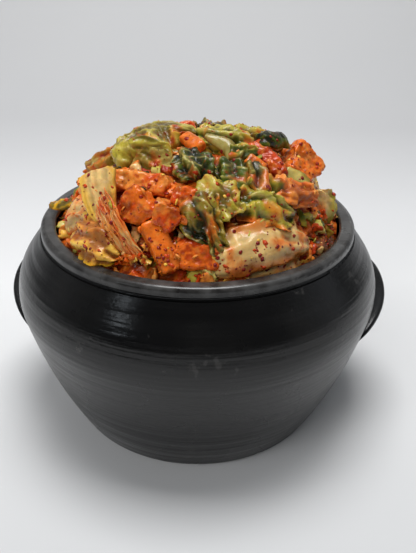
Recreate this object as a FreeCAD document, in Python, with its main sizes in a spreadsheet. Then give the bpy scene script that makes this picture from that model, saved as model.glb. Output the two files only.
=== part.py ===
"""Crock of kimchi: a glazed stoneware crock with two moulded lugs, heaped with cut kimchi.

Frame: origin at the centre of the base, +Z up, the two lugs on +X and -X, the heap's shown
side towards -Y.  Units are millimetres.

The crock is one PartDesign body: a revolved outer wall, an arched ledge lug lofted out of the
belly and mirrored, a crease under the collar and a grooved cavity.  The kimchi is a core that
fills the cavity and rises in an uneven heap, with each large piece of cabbage, radish and
carrot seated in it.  Every piece is placed by azimuth, share of the mouth's radius and share
of the heap's rise, so the food follows the crock when a size changes.
"""
import FreeCAD, Part
import Sketcher
import math
import os
from FreeCAD import Matrix, Placement, Rotation, Vector

# ------------------------------------------------------------------ driving dimensions
SIZES = [
    ("crock_height", 96.0, "table to the top of the rim"),
    ("base_radius", 61.0, "where the wall meets the table"),
    ("base_round", 3.0, "rounding of the bottom corner"),
    ("belly_radius", 83.0, "widest part of the wall"),
    ("belly_height", 65.0, "height of the widest part"),
    ("belly_curve", 28.0, "profile radius at the belly"),
    ("flare_curve", 240.0, "profile radius of the wall below the belly"),
    ("rim_radius", 70.4, "outer edge of the rim"),
    ("mouth_radius", 62.8, "inner edge of the rim"),
    ("wall", 7.0, "thickness of the wall"),
    ("floor", 8.0, "thickness of the bottom"),
    ("rim_round", 2.2, "rounding of the rim's outer edge"),
    ("mouth_round", 1.6, "rounding of the rim's inner edge"),
    ("crease_drop", 4.6, "crease under the collar, below the rim"),
    ("crease_round", 0.9, "radius of the crease"),
    ("lug_reach", 6.7, "how far a lug stands out of the belly"),
    ("lug_drop", 0.5, "back end of a lug's lip below the widest part"),
    ("lug_arch", 15.0, "how far the front end of a lug's lip droops"),
    ("lug_span", 24.0, "half angle that a lug covers, degrees"),
    ("lug_rise", 12.0, "lug's root above its lip"),
    ("lug_skirt", 20.0, "lug's root below its lip"),
    ("lug_lip", 3.4, "thickness of the lug's lip"),
    ("lug_dish", 3.0, "depth of the thumb hollow on a lug"),
    ("lug_bulge", 1.6, "how far a lug's underside bulges"),
    ("lug_turn", 6.5, "turn of the pair of lugs from the X axis, degrees"),
    ("lug_skew", 0.15, "lean of a lug's lip to the back, as a share of its half angle"),
    ("fill_drop", 4.0, "kimchi at the wall, below the rim"),
    ("heap_rise", 42.0, "top of the heap above the rim"),
    ("heap_lump", 1.8, "unevenness of the heap"),
    ("heap_lean", 5.0, "top of the core, off the axis towards the shown side"),
    ("core_inset", 5.0, "core of the heap below the faces of the pieces on it"),
    ("leaf_thick", 2.2, "thin leafy cabbage"),
    ("rib_thick", 5.2, "thick white cabbage rib"),
    ("leaf_camber", 3.0, "how far a leaf arches across its width"),
    ("leaf_ruffle", 1.6, "depth of a leaf's ruffles"),
    ("stem_width", 17.0, "cut end of the cabbage stem"),
    ("stick_width", 9.0, "carrot stick, across its wide face"),
    ("stick_thick", 6.5, "carrot stick, across its narrow face"),
    ("chunk_size", 15.0, "radish chunk, its longest side"),
    ("edge_round", 1.4, "softened edges of cut vegetables"),
]

doc = FreeCAD.newDocument("crock_of_kimchi")
sheet = doc.addObject("Spreadsheet::Sheet", "sizes")
for row, (alias, value, note) in enumerate(SIZES, start=1):
    sheet.set("A%d" % row, alias)
    sheet.set("B%d" % row, str(value))
    sheet.set("C%d" % row, note)
    sheet.setAlias("B%d" % row, alias)
doc.recompute()


def size(alias):
    """Value of a driving dimension, read from the sheet."""
    return float(sheet.get(alias))


# ------------------------------------------------------------------ sketch helpers
def origin_plane(body, role):
    """One of a body's own origin planes, found by its role."""
    return next(item for item in body.Origin.OriginFeatures if item.Role == role)


def upright_sketch(body, name, azimuth=0.0):
    """Sketch in the vertical plane through the axis at an azimuth: x is radius, y is height."""
    sketch = body.newObject("Sketcher::SketchObject", name)
    sketch.AttachmentSupport = [(origin_plane(body, "XZ_Plane"), "")]
    sketch.MapMode = "FlatFace"
    sketch.AttachmentOffset = Placement(Vector(), Rotation(Vector(0, 1, 0), azimuth))
    return sketch


def join_ends(sketch, edges):
    """Tie the end of each edge to the start of the next one, all the way round."""
    for edge, following in zip(edges, edges[1:] + edges[:1]):
        sketch.addConstraint(Sketcher.Constraint("Coincident", edge, 2, following, 1))


def pin(sketch, edge, point, radius_rule=None, height_rule=None):
    """Bind a point's radius and height to expressions over the sheet."""
    for kind, rule in (("DistanceX", radius_rule), ("DistanceY", height_rule)):
        if rule is None:
            continue
        here = sketch.getPoint(edge, point)
        value = here.x if kind == "DistanceX" else here.y
        index = sketch.addConstraint(Sketcher.Constraint(kind, -1, 1, edge, point, value))
        sketch.setExpression("Constraints[%d]" % index, rule)


def bind(sketch, kind, edge, value, rule):
    """Add a one-edge constraint and bind it to an expression over the sheet."""
    index = sketch.addConstraint(Sketcher.Constraint(kind, edge, value))
    sketch.setExpression("Constraints[%d]" % index, rule)


def line(start, end):
    return Part.LineSegment(Vector(start[0], start[1], 0), Vector(end[0], end[1], 0))


def arc(centre, start, end):
    """Counter-clockwise arc about a centre."""
    radius = math.hypot(start[0] - centre[0], start[1] - centre[1])
    first = math.atan2(start[1] - centre[1], start[0] - centre[0])
    last = math.atan2(end[1] - centre[1], end[0] - centre[0])
    circle = Part.Circle(Vector(centre[0], centre[1], 0), Vector(0, 0, 1), radius)
    return Part.ArcOfCircle(circle, first, last)


# ------------------------------------------------------------------ the wall's profile
BELLY_CENTRE = (size("belly_radius") - size("belly_curve"), size("belly_height"))


def flare_centre():
    """Centre of the long arc below the belly, tangent to the belly arc and met by the base."""
    reach = size("flare_curve") - size("belly_curve")
    dx = size("base_radius") - BELLY_CENTRE[0]
    dz = -BELLY_CENTRE[1]
    gap = math.hypot(dx, dz)
    along = (reach ** 2 - size("flare_curve") ** 2 + gap ** 2) / (2 * gap)
    across = math.sqrt(reach ** 2 - along ** 2)
    return (BELLY_CENTRE[0] + (along * dx + across * dz) / gap,
            BELLY_CENTRE[1] + (along * dz - across * dx) / gap)


FLARE_CENTRE = flare_centre()


def belly_foot(inset):
    """Point where the belly arc hands over to the flare arc, inset into the wall."""
    dx = BELLY_CENTRE[0] - FLARE_CENTRE[0]
    dz = BELLY_CENTRE[1] - FLARE_CENTRE[1]
    scale = (size("belly_curve") - inset) / math.hypot(dx, dz)
    return (BELLY_CENTRE[0] + dx * scale, BELLY_CENTRE[1] + dz * scale)


def flare_at(height, inset):
    """Radius of the flare arc at a height."""
    radius = size("flare_curve") - inset
    return FLARE_CENTRE[0] + math.sqrt(radius ** 2 - (height - FLARE_CENTRE[1]) ** 2)


def shoulder_start(end, inset):
    """Point where the straight shoulder that runs to `end` leaves the belly arc."""
    radius = size("belly_curve") - inset
    dx = end[0] - BELLY_CENTRE[0]
    dz = end[1] - BELLY_CENTRE[1]
    turn = math.atan2(dz, dx) - math.acos(radius / math.hypot(dx, dz))
    return (BELLY_CENTRE[0] + radius * math.cos(turn), BELLY_CENTRE[1] + radius * math.sin(turn))


def wall_radius(height):
    """Outer radius of the wall at a height on the flare or the belly."""
    if height < belly_foot(0.0)[1]:
        return flare_at(height, 0.0)
    return BELLY_CENTRE[0] + math.sqrt(size("belly_curve") ** 2 - (height - BELLY_CENTRE[1]) ** 2)


def wall_profile(sketch, inset, foot, top, inset_rule, foot_rules, top_rules):
    """Half section bounded by the axis, a flat foot, the flare, the belly and the shoulder.

    `inset` moves the curves into the wall, so the same profile makes the outside and the cavity.
    """
    low = belly_foot(inset)
    high = shoulder_start(top, inset)
    edges = [
        sketch.addGeometry(line((0, foot[1]), foot)),
        sketch.addGeometry(arc(FLARE_CENTRE, foot, low)),
        sketch.addGeometry(arc(BELLY_CENTRE, low, high)),
        sketch.addGeometry(line(high, top)),
        sketch.addGeometry(line(top, (0, top[1]))),
        sketch.addGeometry(line((0, top[1]), (0, foot[1]))),
    ]
    bottom, flare, belly, shoulder, lid, axis = edges
    for first, second in ((bottom, flare), (shoulder, lid), (lid, axis), (axis, bottom)):
        sketch.addConstraint(Sketcher.Constraint("Coincident", first, 2, second, 1))
    sketch.addConstraint(Sketcher.Constraint("Tangent", flare, 2, belly, 1))
    sketch.addConstraint(Sketcher.Constraint("Tangent", belly, 2, shoulder, 1))
    sketch.addConstraint(Sketcher.Constraint("Horizontal", bottom))
    sketch.addConstraint(Sketcher.Constraint("Horizontal", lid))
    sketch.addConstraint(Sketcher.Constraint("PointOnObject", axis, 1, -2))
    sketch.addConstraint(Sketcher.Constraint("PointOnObject", axis, 2, -2))
    bind(sketch, "Radius", flare, size("flare_curve") - inset, "sizes.flare_curve - " + inset_rule)
    bind(sketch, "Radius", belly, size("belly_curve") - inset, "sizes.belly_curve - " + inset_rule)
    pin(sketch, belly, 3, "sizes.belly_radius - sizes.belly_curve", "sizes.belly_height")
    pin(sketch, flare, 1, *foot_rules)
    pin(sketch, shoulder, 2, *top_rules)


def full_turn(body, kind, name, sketch):
    """Revolution or Groove of a sketch once round the vertical axis."""
    feature = body.newObject("PartDesign::" + kind, name)
    feature.Profile = sketch
    feature.ReferenceAxis = (sketch, ["V_Axis"])
    feature.Angle = 360.0
    sketch.Visibility = False
    return feature


def cavity_sketch(body, name):
    """The inside of the crock, from the floor to the mouth."""
    sketch = upright_sketch(body, name)
    foot = (flare_at(size("floor"), size("wall")), size("floor"))
    wall_profile(sketch, size("wall"), foot, (size("mouth_radius"), size("crock_height")),
                 "sizes.wall", (None, "sizes.floor"),
                 ("sizes.mouth_radius", "sizes.crock_height"))
    flare = 1
    centre = 3
    pin(sketch, flare, centre, "%.9f" % FLARE_CENTRE[0])
    return sketch


# ------------------------------------------------------------------ the crock
NEAR = 0.01            # an edge is where it should be if it is this close, in millimetres


def round_edges(body, name, heights, alias):
    """Fillet the full circles of the tip that lie at the given radius and height."""
    base = body.Tip
    found = []
    for number, edge in enumerate(base.Shape.Edges, start=1):
        curve = edge.Curve
        if not isinstance(curve, Part.Circle):
            continue
        for radius, height in heights:
            if abs(curve.Radius - radius) < NEAR and abs(curve.Center.z - height) < NEAR:
                found.append("Edge%d" % number)
    assert found, "no edge to round for " + name
    fillet = body.newObject("PartDesign::Fillet", name)
    fillet.Base = (base, found)
    fillet.setExpression("Radius", "sizes." + alias)
    doc.recompute()
    return fillet


LUG_STEPS = 12         # sections of a lug, less one
LUG_FULLNESS = 2.5     # how squarely a lug's lip keeps its reach towards its ends
END_SUNK = 0.9         # how deep a lug's end sections lie in the wall
END_SHARE = 0.3        # what an end section keeps of the lip, dish and rise of the middle one
ROOT_DEPTH = 0.6       # a lug's upper root in the wall, as a share of the wall
FOOT_DEPTH = 0.15      # a lug's lower root in the wall, as a share of the wall


def beside(start, end, reach):
    """Point off the middle of a line, `reach` to the left of its direction."""
    run = (end[0] - start[0], end[1] - start[1])
    share = reach / math.hypot(*run)
    return ((start[0] + end[0]) / 2 - run[1] * share, (start[1] + end[1]) / 2 + run[0] * share)


def lug_section(body, number):
    """Section of a lug: thumb hollow on top, round lip, and an underside that runs down the wall.

    The sections stand closer together at the lug's ends, where the lip comes in to the wall.
    The lip is fullest a little behind the lug's middle and droops towards its front end.
    """
    turn = math.sin(math.pi * (float(number) / LUG_STEPS - 0.5))
    fullest = size("lug_skew") * (1 - turn ** 2)
    share = (1 - abs(turn - fullest) ** LUG_FULLNESS) ** (2 / LUG_FULLNESS)
    skirt = size("lug_skirt") * (1 - abs(turn) ** LUG_FULLNESS) ** (2 / LUG_FULLNESS)
    kept = END_SHARE + (1 - END_SHARE) * share
    lip_height = size("belly_height") - size("lug_drop") - size("lug_arch") * ((1 - turn) / 2) ** 2
    wall_here = wall_radius(lip_height)
    lip = wall_here + size("lug_reach") * share - END_SUNK * (1 - share)
    half = size("lug_lip") / 2 * kept
    root = wall_here - ROOT_DEPTH * size("wall")
    top = (root, lip_height + size("lug_rise") * kept)
    foot_height = lip_height - 2 * half - skirt
    bottom = (wall_radius(foot_height) - FOOT_DEPTH * size("wall"), foot_height)
    lip_top = (lip - half, lip_height + half)
    lip_bottom = (lip - half, lip_height - half)
    hollow = beside(top, lip_top, -size("lug_dish") * kept)
    swell = beside(lip_bottom, bottom, -size("lug_bulge") * kept)
    sketch = upright_sketch(body, "lug_section_%d" % number,
                            size("lug_turn") + size("lug_span") * turn)
    sketch.addGeometry(Part.Arc(Vector(*top, 0), Vector(*hollow, 0), Vector(*lip_top, 0)))
    sketch.addGeometry(Part.Arc(Vector(*lip_top, 0), Vector(lip, lip_height, 0),
                                Vector(*lip_bottom, 0)))
    sketch.addGeometry(Part.Arc(Vector(*lip_bottom, 0), Vector(*swell, 0), Vector(*bottom, 0)))
    sketch.addGeometry(line(bottom, top))
    return sketch


def build_crock():
    """The crock: wall, lugs, crease, cavity and rounded rim, fired as one piece."""
    body = doc.addObject("PartDesign::Body", "crock")
    outside = upright_sketch(body, "outside")
    foot = (size("base_radius"), 0.0)
    collar_foot = (size("rim_radius"), size("crock_height") - size("crease_drop"))
    wall_profile(outside, 0.0, foot, collar_foot, "0", ("sizes.base_radius", "0"),
                 ("sizes.rim_radius", "sizes.crock_height - sizes.crease_drop"))
    full_turn(body, "Revolution", "wall_solid", outside)
    doc.recompute()
    collar_plan = body.newObject("Sketcher::SketchObject", "collar_plan")
    collar_plan.AttachmentSupport = [(origin_plane(body, "XY_Plane"), "")]
    collar_plan.MapMode = "FlatFace"
    collar_plan.AttachmentOffset = Placement(Vector(0, 0, collar_foot[1]), Rotation())
    collar_plan.setExpression("AttachmentOffset.Base.z", "sizes.crock_height - sizes.crease_drop")
    ring = collar_plan.addGeometry(Part.Circle(Vector(), Vector(0, 0, 1), size("rim_radius")))
    collar_plan.addConstraint(Sketcher.Constraint("Coincident", ring, 3, -1, 1))
    bind(collar_plan, "Radius", ring, size("rim_radius"), "sizes.rim_radius")
    collar = body.newObject("PartDesign::Pad", "collar")
    collar.Profile = collar_plan
    collar.setExpression("Length", "sizes.crease_drop")
    doc.recompute()
    sections = [lug_section(body, number) for number in range(LUG_STEPS + 1)]
    lug = body.newObject("PartDesign::AdditiveLoft", "lug")
    lug.Profile = sections[0]
    lug.Sections = sections[1:]
    lug.Ruled = False
    doc.recompute()
    lugs = body.newObject("PartDesign::Mirrored", "lug_pair")
    lugs.Originals = [lug]
    lugs.MirrorPlane = (sections[LUG_STEPS // 2], ["V_Axis"])
    body.Tip = lugs
    doc.recompute()
    crease_plan = upright_sketch(body, "crease_section")
    bead = crease_plan.addGeometry(Part.Circle(Vector(collar_foot[0], collar_foot[1], 0),
                                               Vector(0, 0, 1), size("crease_round")))
    pin(crease_plan, bead, 3, "sizes.rim_radius", "sizes.crock_height - sizes.crease_drop")
    bind(crease_plan, "Radius", bead, size("crease_round"), "sizes.crease_round")
    full_turn(body, "Groove", "crease", crease_plan)
    doc.recompute()
    full_turn(body, "Groove", "cavity", cavity_sketch(body, "inside"))
    doc.recompute()
    round_edges(body, "rim_outer_edge", [(size("rim_radius"), size("crock_height"))], "rim_round")
    round_edges(body, "rim_inner_edge", [(size("mouth_radius"), size("crock_height"))],
                "mouth_round")
    round_edges(body, "base_corner", [(size("base_radius"), 0.0)], "base_round")
    body.Label = "crock"
    return body


crock = build_crock()


# ------------------------------------------------------------------ where the food lies
HEAP_REACH = 1.02      # share of the mouth's radius where the heap's surface meets the fill
HEAP_POWER = 0.62      # fullness of the heap: 1 is a paraboloid, less is rounder


def spot(azimuth, share, lift):
    """Point at an azimuth, a share of the mouth's radius and a share of the heap's rise."""
    turn = math.radians(azimuth)
    radius = share * size("mouth_radius")
    height = size("crock_height") + lift * size("heap_rise")
    return Vector(radius * math.cos(turn), radius * math.sin(turn), height)


def direction(azimuth, elevation):
    """Unit vector from an azimuth and an elevation in degrees."""
    turn = math.radians(azimuth)
    rise = math.radians(elevation)
    return Vector(math.cos(rise) * math.cos(turn), math.cos(rise) * math.sin(turn),
                  math.sin(rise))


def frame_at(point, along, face):
    """Placement whose z runs along a piece and whose y looks out of its face."""
    side = face.cross(along)
    side.normalize()
    out = along.cross(side)
    out.normalize()
    return Placement(Matrix(side.x, out.x, along.x, point.x,
                            side.y, out.y, along.y, point.y,
                            side.z, out.z, along.z, point.z,
                            0, 0, 0, 1))


# ------------------------------------------------------------------ leaves and ribs
SECTION_POINTS = 9     # points across a leaf's section
RUFFLE_TURNS = 2.2     # waves across a ruffled section
RUFFLE_PHASE = 0.7     # shift of the waves from one station to the next, radians


def section_curve(width, camber, ruffle, phase, drop):
    """One face of a leaf's section: an arch across the width, with or without ruffles."""
    places = [number / (SECTION_POINTS - 1.0) for number in range(SECTION_POINTS)]
    points = []
    for place in places:
        across = place - 0.5
        wave = math.sin(2 * math.pi * RUFFLE_TURNS * across + phase)
        height = camber * (1 - 4 * across ** 2) + ruffle * wave - drop
        points.append(Vector(width * across, height, 0))
    curve = Part.BSplineCurve()
    curve.interpolate(Points=points, Parameters=places)
    return curve


def span(sketch, kind, first, second, value, rule):
    """Bind the distance between two sketch points to an expression over the sheet."""
    index = sketch.addConstraint(Sketcher.Constraint(kind, *first, *second, value))
    sketch.setExpression("Constraints[%d]" % index, rule)


def leaf_section(name, placement, width, thick, camber, ruffle, phase):
    """Closed section of a leaf.  `width` and `thick` are pairs of a cell and a factor."""
    wide = size(width[0]) * width[1]
    deep = size(thick[0]) * thick[1]
    sketch = doc.addObject("Sketcher::SketchObject", name)
    sketch.Placement = placement
    upper = section_curve(wide, camber, ruffle, phase, 0.0)
    lower = section_curve(wide, camber, ruffle, phase, deep)
    face = sketch.addGeometry(upper)
    back = sketch.addGeometry(lower)
    left = sketch.addGeometry(Part.LineSegment(lower.StartPoint, upper.StartPoint))
    right = sketch.addGeometry(Part.LineSegment(upper.EndPoint, lower.EndPoint))
    span(sketch, "DistanceX", (face, 1), (face, 2), wide, "sizes.%s * %.4f" % width)
    span(sketch, "DistanceY", (left, 1), (left, 2), deep, "sizes.%s * %.4f" % thick)
    return sketch


def leaf(name, width, thick, camber, ruffle, facing, stations):
    """Leaf or rib lofted along its stations.

    width, thick, camber and ruffle are pairs of a cell and a factor.  `facing` holds the
    azimuth and elevation that the leaf's face looks to at its first and at its last station.
    A station is (azimuth, share of the mouth, share of the rise, share of the width).
    """
    points = [spot(*station[:3]) for station in stations]
    last = len(points) - 1
    sections = []
    for number, station in enumerate(stations):
        along = points[min(number + 1, last)] - points[max(number - 1, 0)]
        share = number / float(last)
        turned = [start + (end - start) * share for start, end in zip(facing[:2], facing[2:])]
        sections.append(leaf_section(
            "%s_section_%d" % (name, number), frame_at(points[number], along.normalize(),
                                                       direction(*turned)),
            (width[0], width[1] * station[3]), thick,
            size(camber[0]) * camber[1] * station[3], size(ruffle[0]) * ruffle[1],
            number * RUFFLE_PHASE))
    loft = doc.addObject("Part::Loft", name + "_loft")
    loft.Sections = sections
    loft.Solid = True
    loft.Ruled = False
    return loft


# ------------------------------------------------------------------ sticks and chunks
def rounded_block(name, outline, rules, length_rule):
    """PartDesign body: a closed outline padded to a length, with all its edges softened."""
    body = doc.addObject("PartDesign::Body", name + "_body")
    plan = body.newObject("Sketcher::SketchObject", name + "_outline")
    plan.AttachmentSupport = [(origin_plane(body, "XY_Plane"), "")]
    plan.MapMode = "FlatFace"
    edges = [plan.addGeometry(line(start, end))
             for start, end in zip(outline, outline[1:] + outline[:1])]
    join_ends(plan, edges)
    for edge, rule in zip(edges, rules):
        pin(plan, edge, 1, *rule)
    pad = body.newObject("PartDesign::Pad", name + "_pad")
    pad.Profile = plan
    pad.Midplane = True
    pad.setExpression("Length", length_rule)
    doc.recompute()
    soft = body.newObject("PartDesign::Fillet", name + "_soft")
    soft.Base = (pad, ["Edge%d" % (number + 1) for number in range(len(pad.Shape.Edges))])
    soft.setExpression("Radius", "sizes.edge_round")
    return body


def stick(name, scale, length, face, start, end):
    """Cut stick between two spots: `length` is a share of the chunk size, `face` its broad side."""
    wide = size("stick_width") * scale
    deep = size("stick_thick") * scale
    outline = [(-wide / 2, -deep / 2), (wide / 2, -deep / 2), (wide / 2, deep / 2),
               (-wide / 2, deep / 2)]
    across = "sizes.stick_width * %.4f" % (scale / 2)
    through = "sizes.stick_thick * %.4f" % (scale / 2)
    rules = [("-" + across, "-" + through), (across, "-" + through), (across, through),
             ("-" + across, through)]
    body = rounded_block(name, outline, rules, "sizes.chunk_size * %.4f" % length)
    first = spot(*start)
    second = spot(*end)
    body.Placement = frame_at((first + second) * 0.5, (second - first).normalize(),
                              direction(*face))
    return body


CHUNK_CORNERS = 5
CORNER_SWING = 0.5     # how far a corner may stray round the outline, radians
CORNER_UNEVEN = 0.16   # how far it may stray in or out, as a share of its reach


def chunk(name, scale, depth, seed, along, face, place):
    """Cut chunk with an uneven five-sided outline, `depth` thick along its own axis."""
    outline = []
    rules = []
    for number in range(CHUNK_CORNERS):
        turn = 2 * math.pi * number / CHUNK_CORNERS + CORNER_SWING * math.sin(seed + 2.0 * number)
        reach = scale / 2 * (1 + CORNER_UNEVEN * math.sin(2.7 * number + 1.9 * seed))
        corner = (reach * math.cos(turn), reach * math.sin(turn))
        outline.append((size("chunk_size") * corner[0], size("chunk_size") * corner[1]))
        rules.append(tuple("sizes.chunk_size * %.6f" % value for value in corner))
    body = rounded_block(name, outline, rules, "sizes.chunk_size * %.4f" % depth)
    body.Placement = frame_at(spot(*place), direction(*along), direction(*face))
    return body


# ------------------------------------------------------------------ the pieces of food
RIB = ("rib_thick", 1.0)
THIN = ("leaf_thick", 1.0)
FLAT = ("leaf_ruffle", 0.0)
RUFFLED = ("leaf_ruffle", 1.0)


def sticks_and_chunks():
    """Cut carrot and radish: stiff pieces, which the leaves lie against."""
    return {
        "carrot_stick_front": stick("carrot_stick_front", 1.0, 1.4, (-60, 25),
                                    (-99, 0.84, 0.36), (-90, 0.94, 0.07)),
        "carrot_end_front": stick("carrot_end_front", 0.75, 0.8, (0, 70),
                                  (-85, 0.62, 0.50), (-84, 0.86, 0.42)),
        "carrot_top": stick("carrot_top", 0.7, 0.8, (-90, 45),
                            (-120, 0.18, 0.93), (-74, 0.34, 0.84)),
        "carrot_bit_right": stick("carrot_bit_right", 0.65, 0.6, (-60, 40),
                                  (-38, 0.46, 0.78), (-33, 0.57, 0.68)),
        "carrot_stick_back": stick("carrot_stick_back", 0.95, 1.5, (80, 30),
                                   (84, 0.82, 0.42), (64, 0.90, 0.24)),
        "radish_slab_left": stick("radish_slab_left", 0.95, 1.7, (-110, 35),
                                  (-128, 0.67, 0.60), (-103, 0.60, 0.61)),
        "radish_strip_top": stick("radish_strip_top", 0.85, 1.3, (-60, 35),
                                  (-14, 0.42, 0.80), (-21, 0.62, 0.62)),
        "radish_chunk_left": chunk("radish_chunk_left", 1.25, 0.7, 0.4, (-100, 20), (0, 80),
                                   (-109, 0.77, 0.47)),
        "radish_chunk_middle": chunk("radish_chunk_middle", 1.1, 0.66, 1.7, (-85, 15), (20, 70),
                                     (-95, 0.79, 0.42)),
        "radish_chunk_centre": chunk("radish_chunk_centre", 0.95, 0.62, 2.6, (-70, 30), (0, 60),
                                     (-87, 0.69, 0.57)),
        "radish_chunk_red": chunk("radish_chunk_red", 1.3, 0.7, 3.3, (-80, 30), (10, 60),
                                  (-80, 0.86, 0.14)),
        "radish_chunk_top": chunk("radish_chunk_top", 1.45, 0.8, 0.9, (-40, 40), (60, 45),
                                  (3, 0.68, 0.58)),
        "radish_chunk_back": chunk("radish_chunk_back", 1.3, 0.8, 2.1, (110, 35), (20, 50),
                                   (113, 0.80, 0.42)),
        "radish_tip_top": chunk("radish_tip_top", 0.8, 0.5, 1.2, (150, 60), (60, 30),
                                (150, 0.14, 0.85)),
    }


def ribs():
    """Thick white cabbage ribs and the cut stem."""
    return {
        "stem_fan": leaf("stem_fan", ("stem_width", 1.0), ("rib_thick", 1.25),
                         ("leaf_camber", 0.35), FLAT, (-98, 15, -95, 35),
                         [(-134, 0.80, 0.71, 1.0), (-126, 0.85, 0.52, 0.9),
                          (-118, 0.90, 0.34, 1.1), (-111, 0.93, 0.18, 1.2),
                          (-106, 0.94, 0.04, 0.9)]),
        "cabbage_rib_front": leaf("cabbage_rib_front", ("stem_width", 1.15), RIB,
                                  ("leaf_camber", 0.8), FLAT, (-70, 35, -45, 45),
                                  [(-76, 0.93, 0.06, 0.75), (-65, 0.91, 0.17, 1.0),
                                   (-52, 0.90, 0.22, 1.0), (-40, 0.91, 0.18, 0.85),
                                   (-31, 0.93, 0.09, 0.4)]),
        "cabbage_rib_under": leaf("cabbage_rib_under", ("stem_width", 0.75), RIB,
                                  ("leaf_camber", 0.6), FLAT, (-60, 30, -45, 30),
                                  [(-62, 0.94, 0.0, 0.8), (-50, 0.94, 0.02, 1.0),
                                   (-38, 0.94, 0.0, 0.6)]),
        "cabbage_chunk_left": leaf("cabbage_chunk_left", ("stem_width", 1.05),
                                   ("rib_thick", 1.3), ("leaf_camber", 0.9), FLAT,
                                   (-150, 30, -140, 35),
                                   [(-156, 0.91, 0.07, 0.7), (-148, 0.89, 0.17, 1.0),
                                    (-139, 0.83, 0.30, 0.8)]),
        "cabbage_chunk_right": leaf("cabbage_chunk_right", ("stem_width", 1.05),
                                    ("rib_thick", 1.7), ("leaf_camber", 0.5), FLAT,
                                    (-55, 10, -60, 25),
                                    [(-10, 0.86, 0.03, 0.85), (-9, 0.86, 0.20, 1.0),
                                     (-9, 0.82, 0.38, 0.9)]),
        "stem_under_right": leaf("stem_under_right", ("stem_width", 0.65), RIB,
                                 ("leaf_camber", 0.5), FLAT, (-60, 25, -60, 25),
                                 [(-18, 0.62, 0.62, 0.8), (-16, 0.70, 0.52, 1.0),
                                  (-14, 0.78, 0.42, 0.8)]),
        "rib_arc_top": leaf("rib_arc_top", ("stem_width", 0.36), ("rib_thick", 0.6),
                            ("leaf_camber", 0.3), FLAT, (-100, 40, -100, 30),
                            [(-66, 0.20, 0.93, 0.7), (-44, 0.34, 0.85, 1.0),
                             (-52, 0.44, 0.75, 1.0), (-68, 0.48, 0.69, 0.7)]),
        "cabbage_rib_back": leaf("cabbage_rib_back", ("stem_width", 1.3), RIB,
                                 ("leaf_camber", 0.8), FLAT, (150, 35, 125, 35),
                                 [(164, 0.76, 0.48, 0.8), (150, 0.86, 0.32, 1.0),
                                  (134, 0.92, 0.10, 0.8)]),
        "cabbage_rib_side": leaf("cabbage_rib_side", ("stem_width", 1.1), RIB,
                                 ("leaf_camber", 0.8), FLAT, (35, 35, 15, 35),
                                 [(44, 0.74, 0.52, 0.8), (32, 0.86, 0.34, 1.0),
                                  (21, 0.92, 0.10, 0.8)]),
    }


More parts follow.
